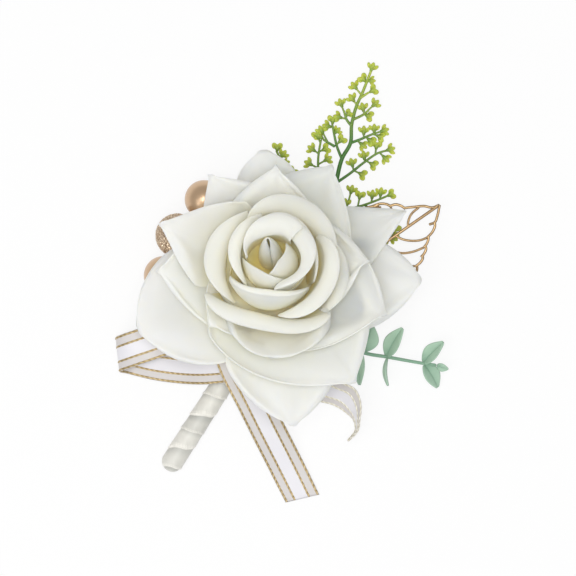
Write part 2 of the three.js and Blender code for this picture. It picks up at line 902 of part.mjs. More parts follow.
// Beads and berry, with the wire that carries each
function ball(radius, segments, grain) {
  const geometry = new THREE.SphereGeometry(radius, segments, Math.round(segments * 0.7));
  if (grain > 0) {
    const spots = geometry.attributes.position;
    for (let index = 0; index < spots.count; index += 1) {
      const p = new THREE.Vector3().fromBufferAttribute(spots, index);
      const waves = [p.x * grainTurn, p.y * grainTurn + 1, p.z * grainTurn + 2];
      const bump = waves.reduce((product, wave) => product * Math.sin(wave), 1);
      p.setLength(radius - grain + grain * bump);
      spots.setXYZ(index, p.x, p.y, p.z);
    }
  }
  return finish(geometry);
}

// Each: its place on the table, the slot of its wire in the handle and two bends of that wire. Places are
// shares of the head's radius.
const balls = [
  {
    name: "pearl_bead_lower",
    radius: beadRadius,
    grain: 0,
    turn: 0,
    placeShares: [-0.676, 0.29],
    bendShares: [[-0.036, 0.148, 0.062], [-0.238, 0.233, 0.067]],
  },
  {
    name: "glitter_berry",
    radius: berryRadius,
    grain: berryGrain,
    turn: 60,
    placeShares: [-0.581, 0.56],
    bendShares: [[0.005, 0.176, 0.095], [-0.19, 0.319, 0.095]],
  },
  {
    name: "pearl_bead_upper",
    radius: beadRadius,
    grain: 0,
    turn: 300,
    placeShares: [-0.402, 0.8],
    bendShares: [[0.005, 0.214, 0.029], [-0.119, 0.417, 0.038]],
  },
];
for (const { name, radius, grain, turn, placeShares, bendShares } of balls) {
  const finishOf = grain > 0 ? materials.glitter : materials.pearl;
  const mesh = place(corsage, name, ball(radius, 16, grain), finishOf);
  mesh.position.set(placeShares[0] * headRadius, placeShares[1] * headRadius, radius);
  const bends = bendShares.map((bend) => bend.map((share) => share * headRadius));
  const last = new THREE.Vector3(...bends[bends.length - 1]);
  const heart = mesh.position;
  const reach = heart.distanceTo(last) - radius - clearance;
  const tip = last.clone().add(heart.clone().sub(last).setLength(reach));
  const wire = rod([...bundled(turn), ...bends, tip.toArray()], trimWireRadius, 16, 6);
  place(corsage, `${name}_wire`, wire, materials.gold);
}

// Metal leaf: strips cut from one sheet, joined, then arched. Places are shares of its length along the
// midrib and of its half width across it; each lobe of the edge ends in a notch, where the next one
// starts.
const leafMidribShares = [[0, 0], [0.25, 0], [0.5, 0], [0.75, 0], [0.977, 0]];
const leafLobeShares = [
  [[0, 0], [0.06, 0.3], [0.16, 0.62], [0.3, 0.88], [0.45, 0.97], [0.59, 0.92], [0.65, 0.84], [0.69, 0.76]],
  [[0.65, 0.84], [0.7, 0.78], [0.73, 0.68], [0.742, 0.57]],
  [[0.735, 0.62], [0.77, 0.57], [0.79, 0.48], [0.802, 0.36]],
  [[0.795, 0.4], [0.825, 0.34], [0.852, 0.28], [0.897, 0.18], [0.934, 0.04], [0.977, 0]],
  [[0.977, 0], [0.961, -0.06], [0.943, -0.13], [0.925, -0.19], [0.898, -0.26], [0.86, -0.23]],
  [[0.898, -0.24], [0.885, -0.33], [0.868, -0.38], [0.845, -0.42], [0.806, -0.45]],
  [[0.82, -0.44], [0.808, -0.5], [0.79, -0.55], [0.76, -0.59]],
  [[0.775, -0.56], [0.768, -0.64], [0.745, -0.7], [0.716, -0.73]],
  [[0.73, -0.7], [0.722, -0.77], [0.695, -0.82], [0.656, -0.83]],
  [[0.67, -0.82], [0.66, -0.9], [0.6, -1], [0.45, -1.02], [0.3, -0.9], [0.16, -0.62], [0.06, -0.3], [0, 0]],
];
const leafVeinShares = [
  [[0.754, 0], [0.775, 0.1], [0.812, 0.19], [0.872, 0.22]],
  [[0.63, 0], [0.655, 0.25], [0.69, 0.45], [0.742, 0.57]],
  [[0.5, 0], [0.53, 0.4], [0.58, 0.66], [0.66, 0.8]],
  [[0.36, 0], [0.39, 0.45], [0.44, 0.75], [0.52, 0.94]],
  [[0.22, 0], [0.25, 0.4], [0.3, 0.7], [0.38, 0.92]],
  [[0.664, 0], [0.69, -0.17], [0.724, -0.3], [0.765, -0.4], [0.81, -0.45]],
  [[0.55, 0], [0.6, -0.25], [0.643, -0.42], [0.7, -0.53], [0.765, -0.59]],
  [[0.545, 0], [0.585, -0.31], [0.602, -0.49], [0.628, -0.73], [0.66, -0.82]],
  [[0.4, 0], [0.43, -0.4], [0.47, -0.75], [0.53, -1]],
  [[0.25, 0], [0.28, -0.4], [0.33, -0.72], [0.38, -0.96]],
];

function strip(points, width) {
  const left = [];
  const right = [];
  points.forEach((p, index) => {
    const before = points[Math.max(index - 1, 0)];
    const after = points[Math.min(index + 1, points.length - 1)];
    const run = new THREE.Vector2(after[0] - before[0], after[1] - before[1]).setLength(width / 2);
    left.push(new THREE.Vector2(p[0] - run.y, p[1] + run.x));
    right.unshift(new THREE.Vector2(p[0] + run.y, p[1] - run.x));
  });
  const outline = new THREE.Shape([...left, ...right]);
  return new THREE.ExtrudeGeometry(outline, { depth: leafSheet, bevelEnabled: false });
}

function metalLeaf() {
  const inLeaf = ([along, across]) => [along * leafLength, across * leafHalfWidth];
  const strips = [
    strip(leafMidribShares.map(inLeaf), leafMidrib),
    ...leafLobeShares.map((lobe) => strip(lobe.map(inLeaf), leafStrip)),
    ...leafVeinShares.map((vein) => strip(vein.map(inLeaf), leafVein)),
  ];
  const geometry = joined(strips);
  const spots = geometry.attributes.position;
  for (let index = 0; index < spots.count; index += 1) {
    const x = spots.getX(index);
    const y = spots.getY(index);
    const along = Math.sin((Math.PI * Math.min(x, leafLength)) / leafLength);
    spots.setZ(index, spots.getZ(index) + leafArch * (1 - (y / leafHalfWidth) ** 2) * along);
  }
  geometry.computeVertexNormals();
  return geometry;
}
const leafMesh = place(corsage, "metal_leaf", metalLeaf(), materials.gold);
leafMesh.position.set(leafAcross, leafUp, leafLift);
leafMesh.rotation.z = leafAngle;
const leafFoot = [leafAcross - clearance - leafStrip / 2, leafUp, leafLift + leafSheet / 2];
const leafBend = leafFoot.map((value, axis) => value - leafWireRun[axis]);
const leafWire = rod([...bundled(120), leafBend, leafFoot], leafWireRadius, 14, 6);
place(corsage, "metal_leaf_wire", leafWire, materials.gold);

// Fern sprig: a flat moulded sprig. Places are shares of its blade length, from the foot of the blade.
const fernStemShares = [
  [0, 0], [0.05, 0.2], [0.12, 0.33], [0.13, 0.48], [0.17, 0.635],
  [0.215, 0.735], [0.275, 0.885], [0.3, 0.95],
];
const fernTwigShares = [
  {
    line: [[0, 0], [0.115, 0.08], [0.23, 0.17], [0.34, 0.245], [0.42, 0.27]],
    leaves: [
      [0.22, 0.07], [0.13, 0.17], [0.23, 0.23], [0.335, 0.315], [0.45, 0.28], [0.41, 0.2],
      [0.31, 0.15],
    ],
  },
  {
    line: [[0.12, 0.33], [0.2, 0.36], [0.27, 0.39], [0.33, 0.415]],
    leaves: [[0.225, 0.31], [0.23, 0.435], [0.29, 0.345], [0.315, 0.45], [0.4, 0.435], [0.37, 0.38]],
  },
  {
    line: [[0.135, 0.52], [0.22, 0.56], [0.27, 0.6]],
    leaves: [[0.22, 0.625], [0.275, 0.55], [0.325, 0.655]],
  },
  {
    line: [[0.2, 0.7], [0.27, 0.745]],
    leaves: [[0.31, 0.765]],
  },
  {
    line: [[0.17, 0.635], [0.215, 0.735], [0.275, 0.885]],
    leaves: [[0.15, 0.8], [0.13, 0.7], [0.22, 0.86], [0.3, 0.955], [0.29, 0.84]],
  },
  {
    line: [[0.13, 0.47], [0.09, 0.52], [0.065, 0.6]],
    leaves: [[0.04, 0.66], [0.105, 0.57], [0.015, 0.545]],
  },
  {
    line: [[0.05, 0.2], [0.01, 0.3], [-0.015, 0.41], [-0.03, 0.49]],
    leaves: [[-0.025, 0.525], [-0.075, 0.47], [0.01, 0.43], [0.05, 0.36]],
  },
  {
    line: [[-0.005, 0.3], [-0.065, 0.335], [-0.105, 0.36]],
    leaves: [[-0.135, 0.39], [-0.12, 0.44]],
  },
  {
    line: [[-0.05, -0.2], [-0.13, 0], [-0.145, 0.18], [-0.135, 0.28], [-0.12, 0.36]],
    leaves: [[-0.2, 0.285], [-0.08, 0.285], [-0.225, 0.165], [-0.065, 0.2], [-0.155, 0.4]],
  },
  {
    line: [[-0.1, -0.33], [-0.3, -0.1], [-0.42, 0.12], [-0.455, 0.2], [-0.49, 0.27]],
    leaves: [[-0.48, 0.3], [-0.43, 0.24], [-0.41, 0.165], [-0.35, 0.1]],
  },
  {
    line: [[-0.1, -0.33], [0.1, -0.22], [0.24, -0.175], [0.36, -0.13], [0.43, -0.1]],
    leaves: [[0.13, -0.05], [0.08, -0.16], [0.2, -0.095], [0.3, -0.09], [0.37, -0.07], [0.455, -0.09]],
  },
  {
    line: [[0.24, -0.175], [0.33, -0.3], [0.4, -0.39], [0.43, -0.44]],
    leaves: [[0.48, -0.385], [0.4, -0.46], [0.475, -0.45]],
  },
];
const leafletShares = [[0.12, 0.1], [0.38, 0.52], [0.72, 0.48], [0.76, 0.24], [1.06, 0.16]];

function fernSprig() {
  const foot = new THREE.Vector3(fernAcross, fernUp, fernStemRadius + fernTwigRadius);
  const at = ([x, y]) => [foot.x + x * fernBlade, foot.y + y * fernBlade, foot.z];
  const solids = [];
  const from = bundled(240);
  const route = fernRouteShares.map(([x, y]) => [x * foot.x, y * foot.y, foot.z]);
  solids.push(rod([...from, ...route, at(fernStemShares[0])], fernStemRadius, 12, 6));
  solids.push(rod(fernStemShares.map(at), fernStemRadius * 0.98, 12, 6));
  for (const { line, leaves } of fernTwigShares) {
    const places = line.map((p) => new THREE.Vector3(...at(p)));
    const twig = new THREE.CatmullRomCurve3(places, false, "centripetal");
    solids.push(rod(line.map(at), fernTwigRadius, line.length + 1, 4));
    for (const leaf of leaves) {
      const end = new THREE.Vector3(...at(leaf));
      let best = 0;
      for (let step = 0; step <= 40; step += 1) {
        const nearer = twig.getPoint(step / 40).distanceTo(end) < twig.getPoint(best).distanceTo(end);
        if (nearer) best = step / 40;
      }
      const gap = twig.getPoint(best).distanceTo(end);
      const root = twig.getPoint(Math.max(best - (stalkLeanShare * gap) / twig.getLength(), 0));
      const run = end.clone().sub(root);
      const stalk = Math.max(run.length() - leafletSize * 0.5, 0);
      const blades = leafletShares.map(([x, y]) => [stalk + x * leafletSize, y * leafletSize]);
      const upper = [[0, stalkShare * leafletSize], ...blades];
      const lower = [...upper].reverse().map(([x, y]) => [x, -y]);
      const shape = new THREE.Shape([...lower, ...upper].map(([x, y]) => new THREE.Vector2(x, y)));
      const blade = new THREE.ExtrudeGeometry(shape, { depth: leafletThickness, bevelEnabled: false });
      blade.rotateZ(Math.atan2(run.y, run.x));
      blade.translate(root.x, root.y, foot.z - leafletThickness / 2);
      solids.push(blade);
    }
  }
  return joined(solids);
}
place(corsage, "fern_sprig", fernSprig(), materials.darkGreen);

// Eucalyptus sprig: a stem, three pairs of leaves and a tip bud
// Places are shares of its span from the origin.
const eucalyptusRouteShares = [
  [0.097, 0.066, 0.048],
  [0.321, -0.073, 0.048],
  [0.554, -0.189, 0.06],
  [0.693, -0.215, 0.06],
  [0.898, -0.252, 0.06],
  [0.972, -0.262, 0.06],
];
const inSprig = (shares) => shares.map((share) => share * eucalyptusSpan);
place(
  corsage,
  "eucalyptus_stem",
  rod([...bundled(180), ...eucalyptusRouteShares.map(inSprig)], eucalyptusStemRadius, 22, 6),
  materials.eucalyptus,
);

// A folded oval leaf from its base towards its tip; roll turns its face away from the viewer.
function ovalLeaf(base, tip, halfWidth, roll) {
  const start = new THREE.Vector3(...base);
  const run = new THREE.Vector3(...tip).sub(start);
  const length = run.length();
  const forward = run.clone().normalize();
  const side = new THREE.Vector3(0, 0, 1).cross(forward).normalize().applyAxisAngle(forward, roll * degree);
  const face = forward.clone().cross(side);
  const point = (u, v) => {
    const half = halfWidth * (0.12 + 0.88 * Math.sin(Math.PI * (0.04 + 0.9 * v) ** 0.85));
    const rise = leafFoldShare * half * Math.abs(u) + leafBowShare * length * Math.sin(Math.PI * v);
    return start
      .clone()
      .addScaledVector(forward, v * length)
      .addScaledVector(side, u * half)
      .addScaledVector(face, rise);
  };
  return closedSheet(point, [-1, -0.5, 0, 0.5, 1], [0, 0.15, 0.35, 0.6, 0.82, 1], eucalyptusLeafThickness);
}

const eucalyptusLeaves = [
  {
    name: "eucalyptus_leaf_1_upper",
    baseShares: [0.558, -0.168, 0.062],
    tipShares: [0.612, -0.028, 0.12],
    halfShare: 0.064,
    roll: 25,
  },
  {
    name: "eucalyptus_leaf_1_lower",
    baseShares: [0.55, -0.21, 0.058],
    tipShares: [0.54, -0.374, 0.038],
    halfShare: 0.048,
    roll: 20,
  },
  {
    name: "eucalyptus_leaf_2_upper",
    baseShares: [0.698, -0.196, 0.062],
    tipShares: [0.776, -0.054, 0.12],
    halfShare: 0.054,
    roll: -30,
  },
  {
    name: "eucalyptus_leaf_2_lower",
    baseShares: [0.694, -0.236, 0.06],
    tipShares: [0.698, -0.378, 0.08],
    halfShare: 0.048,
    roll: 82,
  },
  {
    name: "eucalyptus_leaf_3_upper",
    baseShares: [0.904, -0.232, 0.062],
    tipShares: [1.008, -0.132, 0.108],
    halfShare: 0.046,
    roll: -30,
  },
  {
    name: "eucalyptus_leaf_3_lower",
    baseShares: [0.908, -0.278, 0.058],
    tipShares: [0.978, -0.388, 0.032],
    halfShare: 0.05,
    roll: -30,
  },
  {
    name: "eucalyptus_tip_bud",
    baseShares: [0.98, -0.262, 0.06],
    tipShares: [1.038, -0.284, 0.068],
    halfShare: 0.024,
    roll: 30,
  },
];
for (const { name, baseShares, tipShares, halfShare, roll } of eucalyptusLeaves) {
  const leaf = ovalLeaf(inSprig(baseShares), inSprig(tipShares), halfShare * eucalyptusSpan, roll);
  place(corsage, name, leaf, materials.eucalyptus);
}

// Ribbon: the knot round the handle, the loop and the two tails

// A ribbon along rows of centre place and width direction, both given as shares.
function ribbon(rows, steps) {
  const places = rows.map(({ centre }) => new THREE.Vector3(...centre).multiplyScalar(ribbonSpan));
  const centres = new THREE.CatmullRomCurve3(places, false, "centripetal");
  const acrosses = rows.map(({ across }) => new THREE.Vector3(...across).normalize());
  const point = (u, v) => {
    const t = Math.min(Math.max(v, 0), 1) * (rows.length - 1);
    const index = Math.min(Math.floor(t), rows.length - 2);
    const across = acrosses[index].clone().lerp(acrosses[index + 1], smooth(0, 1, t - index)).normalize();
    return centres.getPoint(v).addScaledVector(across, (u * ribbonWidth) / 2);
  };
  const stops = [];
  for (let step = 0; step <= steps; step += 1) stops.push(step / steps);
  return closedSheet(point, [-1, -0.33, 0.33, 1], stops, ribbonThickness);
}

const loopRows = [
  { centre: [-0.242, -0.266, 0.134], across: [0.1, 1, 0] },
  { centre: [-0.34, -0.272, 0.096], across: [0, 1, 0] },
  { centre: [-0.47, -0.268, 0.05], across: [0, 1, 0] },
  { centre: [-0.638, -0.246, 0.03], across: [-0.05, 1, 0] },
  { centre: [-0.778, -0.212, 0.032], across: [-0.05, 1, 0] },
  { centre: [-0.824, -0.202, 0.09], across: [-0.1, 1, 0] },
  { centre: [-0.778, -0.182, 0.148], across: [-0.25, 0.97, 0] },
  { centre: [-0.638, -0.134, 0.172], across: [-0.351, 0.936, 0] },
  { centre: [-0.47, -0.072, 0.174], across: [-0.351, 0.936, 0] },
  { centre: [-0.3, -0.01, 0.158], across: [-0.351, 0.936, 0] },
  { centre: [-0.15, 0.04, 0.138], across: [-0.351, 0.936, 0] },
  { centre: [-0.02, 0.075, 0.13], across: [-0.351, 0.936, 0] },
];
const longTailRows = [
  { centre: [-0.165, -0.21, 0.154], across: [0.888, 0.46, 0] },
  { centre: [-0.14, -0.296, 0.152], across: [0.888, 0.46, 0] },
  { centre: [-0.07, -0.44, 0.138], across: [0.888, 0.46, 0] },
  { centre: [0.024, -0.63, 0.088], across: [0.888, 0.46, 0] },
  { centre: [0.12, -0.82, 0.036], across: [0.888, 0.46, 0] },
  { centre: [0.216, -1.014, 0.012], across: [0.97, 0.22, 0] },
];
const curledTailRows = [
  { centre: [-0.04, -0.26, 0.088], across: [0.4, 0.9, 0] },
  { centre: [0.1, -0.31, 0.1], across: [0.35, 0.93, 0.1] },
  { centre: [0.24, -0.356, 0.108], across: [0.4, 0.85, 0.3] },
  { centre: [0.37, -0.408, 0.112], across: [0.6, 0.6, 0.5] },
  { centre: [0.454, -0.442, 0.112], across: [0.62, 0.5, 0.6] },
  { centre: [0.5, -0.5, 0.112], across: [0.48, 0.26, 0.84] },
  { centre: [0.52, -0.566, 0.112], across: [0.17, 0, 0.985] },
  { centre: [0.52, -0.628, 0.112], across: [0.06, 0, 1] },
  { centre: [0.47, -0.688, 0.112], across: [0, 0, 1] },
];
place(corsage, "ribbon_loop", ribbon(loopRows, 26), materials.ribbon);
place(corsage, "ribbon_tail_long", ribbon(longTailRows, 10), materials.ribbon);
place(corsage, "ribbon_tail_curled", ribbon(curledTailRows, 18), materials.ribbon);

function ribbonKnot() {
  const sides = 18;
  const inner = handleRadius + tapeStep / 2 + clearance;
  const outer = inner + knotThickness;
  const rings = [
    [knotPlace - knotLength / 2, inner, knotThickness],
    [knotPlace - knotLength / 2, outer, 0],
    [knotPlace, outer + knotThickness / 2, 0],
    [knotPlace + knotLength / 2, outer, 0],
    [knotPlace + knotLength / 2, inner, knotThickness],
  ];
  const positions = [];
  const faces = [];
  for (const [distance, radius, floor] of rings) {
    for (let side = 0; side < sides; side += 1) {
      const angle = (side / sides) * 2 * Math.PI;
      const [x, y, z] = inHandle(distance, radius * Math.cos(angle), radius * Math.sin(angle));
      positions.push(x, y, Math.max(z, floor));
    }
  }
  for (let row = 0; row < rings.length; row += 1) {
    for (let side = 0; side < sides; side += 1) {
      const next = (side + 1) % sides;
      const above = (row + 1) % rings.length;
      faces.push(row * sides + side, row * sides + next, above * sides + next);
      faces.push(row * sides + side, above * sides + next, above * sides + side);
    }
  }
  const geometry = new THREE.BufferGeometry();
  geometry.setAttribute("position", new THREE.Float32BufferAttribute(positions, 3));
  geometry.setIndex(faces);
  return finish(geometry);
}
place(corsage, "ribbon_knot", ribbonKnot(), materials.ribbon);

export default corsage;
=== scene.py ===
"""A pin-on corsage lying face up: an open foam rose on a satin-wrapped handle, with pearl beads, a glitter
berry, a hollow metal leaf, a fern sprig, a eucalyptus sprig and a white ribbon with gold stripes.

Sizes are in millimetres and angles in degrees until a mesh is made. +Z is up from the table.
"""
import bmesh
import bpy
import numpy as np
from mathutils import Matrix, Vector


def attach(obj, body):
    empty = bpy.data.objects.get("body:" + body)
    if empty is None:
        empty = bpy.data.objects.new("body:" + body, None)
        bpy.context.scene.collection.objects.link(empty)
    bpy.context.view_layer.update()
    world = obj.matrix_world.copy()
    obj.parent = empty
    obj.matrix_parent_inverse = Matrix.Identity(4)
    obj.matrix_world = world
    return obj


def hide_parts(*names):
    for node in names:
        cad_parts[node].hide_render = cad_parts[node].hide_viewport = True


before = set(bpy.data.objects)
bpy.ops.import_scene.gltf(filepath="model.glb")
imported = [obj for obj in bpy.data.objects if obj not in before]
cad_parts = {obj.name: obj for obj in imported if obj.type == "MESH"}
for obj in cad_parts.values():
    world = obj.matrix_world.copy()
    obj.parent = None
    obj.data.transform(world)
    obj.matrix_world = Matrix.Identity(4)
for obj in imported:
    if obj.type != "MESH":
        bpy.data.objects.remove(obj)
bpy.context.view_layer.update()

MM = 0.001
degree = np.pi / 180


# Sums that many shapes share

def mix(a, b, share):
    """a where share is 0, b where it is 1, and in proportion between them."""
    return a + (b - a) * share


def smooth(low, high, x):
    """0 below low, 1 above high, an S curve between them."""
    t = np.clip((np.asarray(x, float) - low) / (high - low), 0, 1)
    return t * t * (3 - 2 * t)


def hill(x, middle, width):
    """A bell curve, 1 at its middle."""
    return np.exp(-(((x - middle) / width) ** 2))


def rounded(share, sharpness):
    """1 in the middle and 0 where share is -1 or 1, falling as a round edge does."""
    return np.sqrt(np.clip(1 - np.abs(share) ** sharpness, 0, 1))


def unit(vectors):
    """Each vector divided by its length."""
    return vectors / np.maximum(np.linalg.norm(vectors, axis=-1, keepdims=True), 1e-9)


def full_turn(count):
    """The angles of one turn in equal steps, in radians."""
    return np.arange(count) / count * 2 * np.pi


def about_axis(radius, angle, height):
    """Points at a radius, an angle and a height about the Z axis."""
    return np.stack(np.broadcast_arrays(radius * np.cos(angle), radius * np.sin(angle), height), -1)


def far_along(line):
    """How far along a line each of its points lies."""
    return np.concatenate([[0], np.cumsum(np.linalg.norm(np.diff(line, axis=0), axis=1))])


def read_off(stops, places, rows):
    """Rows of three values, given at places along a line and read off at the stops."""
    return np.stack([np.interp(stops, places, rows[:, axis]) for axis in range(3)], axis=-1)


def run(points, count):
    """A smooth line of count points through the given ones.

    Between two points the line is a centripetal Catmull-Rom curve: knots are spaced by the square root of
    the chord, and three rounds of linear mixing give the cubic. The line is then spaced evenly by length."""
    p = np.asarray(points, float)
    p = np.vstack([2 * p[0] - p[1], p, 2 * p[-1] - p[-2]])
    chords = np.linalg.norm(np.diff(p, axis=0), axis=1)
    knots = np.concatenate([[0], np.cumsum(np.sqrt(chords) + 1e-9)])
    t = np.linspace(knots[1], knots[-2], 400)
    first = np.clip(np.searchsorted(knots, t, side="right") - 2, 0, len(p) - 4)
    k = [knots[first + step] for step in range(4)]
    q = [p[first + step] for step in range(4)]

    def between(a, b, low, high):
        return mix(a, b, ((t - low) / (high - low))[:, None])

    a1, a2, a3 = (between(q[i], q[i + 1], k[i], k[i + 1]) for i in range(3))
    b1 = between(a1, a2, k[0], k[2])
    b2 = between(a2, a3, k[1], k[3])
    line = between(b1, b2, k[1], k[2])
    far = far_along(line)
    return read_off(np.linspace(0, far[-1], count), far, line)


# Meshes from grids

class Grid:
    """Points in rows and columns. A closed grid joins its last column to its first. u and v are each corner's
    place on the cloth or skin, and tone is one number per point. The materials read them."""

    def __init__(self, points, closed=False, u=None, v=None, tone=None):
        rows, columns = points.shape[:2]
        corners = columns + 1 if closed else columns
        self.points = points
        self.closed = closed
        self.u = np.broadcast_to(np.linspace(0, 1, corners) if u is None else u, (rows, corners))
        self.v = np.broadcast_to(np.linspace(0, 1, rows)[:, None] if v is None else v, (rows, corners))
        self.tone = np.broadcast_to(0.0 if tone is None else tone, (rows, columns))


def cell_corners(values):
    """For each cell of a grid, the values at its four corners in turn."""
    return np.stack([values[:-1, :-1], values[:-1, 1:], values[1:, 1:], values[1:, :-1]], axis=2)


def put_in_scene(name, data):
    thing = bpy.data.objects.new(name, data)
    bpy.context.scene.collection.objects.link(thing)
    return thing


def add_piece(name, grids, material, slot, *nodes):
    """One mesh of all the grids. Each cell of a grid is a face, and points that meet are merged."""
    points, faces, corners, tones = [], [], [], []
    start = 0
    for grid in grids:
        rows, columns = grid.points.shape[:2]
        number = np.arange(rows * columns).reshape(rows, columns) + start
        if grid.closed:
            number = np.hstack([number, number[:, :1]])
        points.append(grid.points.reshape(-1, 3))
        faces.append(cell_corners(number).reshape(-1, 4))
        corners.append(cell_corners(np.stack([grid.u, grid.v], axis=-1)).reshape(-1, 2))
        tones.append(grid.tone.reshape(-1))
        start += rows * columns
    mesh = bpy.data.meshes.new(name)
    mesh.from_pydata((np.vstack(points) * MM).tolist(), [], np.vstack(faces).tolist())
    layer = mesh.uv_layers.new(name="UVMap")
    layer.data.foreach_set("uv", np.vstack(corners).astype(np.float32).ravel())
    tone = mesh.attributes.new("tone", "FLOAT", "POINT")
    tone.data.foreach_set("value", np.concatenate(tones).astype(np.float32))
    shape = bmesh.new()
    shape.from_mesh(mesh)
    bmesh.ops.remove_doubles(shape, verts=shape.verts, dist=1e-7)
    bmesh.ops.dissolve_degenerate(shape, edges=shape.edges, dist=1e-8)
    shape.to_mesh(mesh)
    shape.free()
    mesh.shade_smooth()
    mesh.materials.append(material)
    piece = put_in_scene(name, mesh)
    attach(piece, "root")
    if nodes:
        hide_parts(*nodes)
    return piece


def shell(middle, thickness, u, v, tone=None):
    """A closed skin on both sides of a middle surface, half the thickness away along its normal.

    The thickness given falls to nothing at every edge as a quarter circle does, so the edge is round."""
    across = unit(np.gradient(middle, axis=1))
    along = unit(np.gradient(middle, axis=0))
    normal = unit(np.cross(across, along))
    offset = normal * thickness[..., None] / 2
    points = np.concatenate([middle + offset, (middle - offset)[:, ::-1]], axis=1)
    corner_u = np.concatenate([u, u[:, ::-1], u[:, :1]], axis=1)
    corner_v = np.concatenate([v, v[:, ::-1], v[:, :1]], axis=1)
    corner_tone = None if tone is None else np.concatenate([tone, tone[:, ::-1]], axis=1)
    return Grid(points, closed=True, u=corner_u, v=corner_v, tone=corner_tone)


def section(side, above, sides, flat):
    """For each place on a line, an oval ring of directions across it (side) and over it (above)."""
    angle = full_turn(sides)[None, :, None]
    return np.cos(angle) * side[:, None] + flat * np.sin(angle) * above[:, None]


def tube(line, radius, sides, up=(0, 0, 1), flat=1.0, tone=None):
    """A rod along a line, made of rings square to it. At each end three rings draw in as a half ball does.

    flat is the height of the section as a share of its width. tone lists the tones from end to end."""
    line = np.asarray(line, float)
    radius = np.broadcast_to(np.asarray(radius, float), (len(line),))
    direction = unit(np.gradient(line, axis=0))
    turns = np.array([0, 30, 60]) * degree
    depths = (1 - np.cos(turns))[:, None]
    widths = np.sin(turns)
    front = line[0] + direction[0] * radius[0] * depths
    back = line[-1] - direction[-1] * radius[-1] * depths
    inside = slice(1, -1)
    line = np.vstack([front, line[inside], back[::-1]])
    first = np.repeat(direction[:1], 3, axis=0)
    last = np.repeat(direction[-1:], 3, axis=0)
    direction = np.vstack([first, direction[inside], last])
    radius = np.concatenate([radius[0] * widths, radius[inside], radius[-1] * widths[::-1]])
    side = unit(np.cross(direction, np.asarray(up, float)))
    above = np.cross(side, direction)
    points = line[:, None] + radius[:, None, None] * section(side, above, sides, flat)
    if tone is not None:
        places = np.linspace(0, 1, len(line))
        tone = np.interp(places, np.linspace(0, 1, len(tone)), tone)[:, None]
    return Grid(points[:, ::-1], closed=True, tone=tone)


def add_rod(name, points, radius, sides, material, slot, count=60, **form):
    """A rod along a smooth line through the given points, in place of the solid of that name."""
    rod = tube(run(points, count), radius, sides, **form)
    add_piece(f"{name}_fine", [rod], material, slot, name)


# Materials
number_socket = "NodeSocketFloat"
colour_socket = "NodeSocketColor"
vector_socket = "NodeSocketVector"
white = (1, 1, 1, 1)


def new_material(name):
    """A material whose node tree is empty, and that tree."""
    material = bpy.data.materials.new(name)
    material.use_nodes = True
    material.node_tree.nodes.clear()
    return material, material.node_tree


def add(tree, kind, plain=None, **values):
    """A node of that kind. values are its settings and its inputs by name, plain its inputs by number."""
    node = tree.nodes.new(kind)
    for name, value in values.items():
        if hasattr(node, name):
            setattr(node, name, value)
        else:
            node.inputs[name.replace("_", " ")].default_value = value
    for place, value in (plain or {}).items():
        node.inputs[place].default_value = value
    return node


def join(tree, *links):
    """Links between nodes. Each gives a node and its output, then a node and its input."""
    for source, output, target, given in links:
        tree.links.new(source.outputs[output], target.inputs[given])


def add_ramp(tree, first, last, *between):
    """A colour ramp from first to last, with other colours at places between them."""
    ramp = tree.nodes.new("ShaderNodeValToRGB")
    stops = ramp.color_ramp.elements
    stops[0].color = (*first, 1)
    stops[1].color = (*last, 1)
    for place, colour in between:
        stops.new(place).color = (*colour, 1)
    return ramp


def new_group(name, inputs, outputs):
    """A shader node group: its inputs with their usual values, its outputs with their kinds."""
    group = bpy.data.node_groups.new(name, "ShaderNodeTree")
    for label, value in inputs.items():
        kind = colour_socket if isinstance(value, tuple) else number_socket
        group.interface.new_socket(label, in_out="INPUT", socket_type=kind).default_value = value
    for label, kind in outputs.items():
        group.interface.new_socket(label, in_out="OUTPUT", socket_type=kind)
    return group, group.nodes.new("NodeGroupInput"), group.nodes.new("NodeGroupOutput")


def fine_grain_group():
    """Small uneven grain: a fine noise as a height for bump, and a coarse one as patches of tone."""
    group, given, out = new_group(
        "Fine grain",
        {"Grain": 2000.0, "Mottle": 120.0},
        {"Height": number_socket, "Patches": number_socket},
    )
    place = add(group, "ShaderNodeTexCoord")
    fine = add(group, "ShaderNodeTexNoise", Detail=3.0, Roughness=0.6)
    coarse = add(group, "ShaderNodeTexNoise", Detail=2.0, Roughness=0.5)
    join(
        group,
        (place, "Object", fine, "Vector"),
        (place, "Object", coarse, "Vector"),
        (given, "Grain", fine, "Scale"),
        (given, "Mottle", coarse, "Scale"),
        (fine, "Fac", out, "Height"),
        (coarse, "Fac", out, "Patches"),
    )
    return group


def two_tone_group():
    """A colour that runs from one to another as tone does, with patches of a little light and dark."""
    group, given, out = new_group(
        "Two tones",
        {"Low": white, "High": white, "Patches": 0.5, "Unevenness": 0.06},
        {"Color": colour_socket},
    )
    tone = add(group, "ShaderNodeAttribute", attribute_name="tone")
    blend = add(group, "ShaderNodeMix", data_type="RGBA", clamp_factor=True)
    spread = add(group, "ShaderNodeMath", {1: 0.5}, operation="SUBTRACT")
    amount = add(group, "ShaderNodeMath", operation="MULTIPLY")
    lift = add(group, "ShaderNodeMath", {1: 1.0}, operation="ADD")
    light = add(group, "ShaderNodeHueSaturation")
    join(
        group,
        (tone, "Fac", blend, "Factor"),
        (given, "Low", blend, 6),
        (given, "High", blend, 7),
        (given, "Patches", spread, 0),
        (spread, 0, amount, 0),
        (given, "Unevenness", amount, 1),
        (amount, 0, lift, 0),
        (lift, 0, light, "Value"),
        (blend, 2, light, "Color"),
        (light, "Color", out, "Color"),
    )
    return group


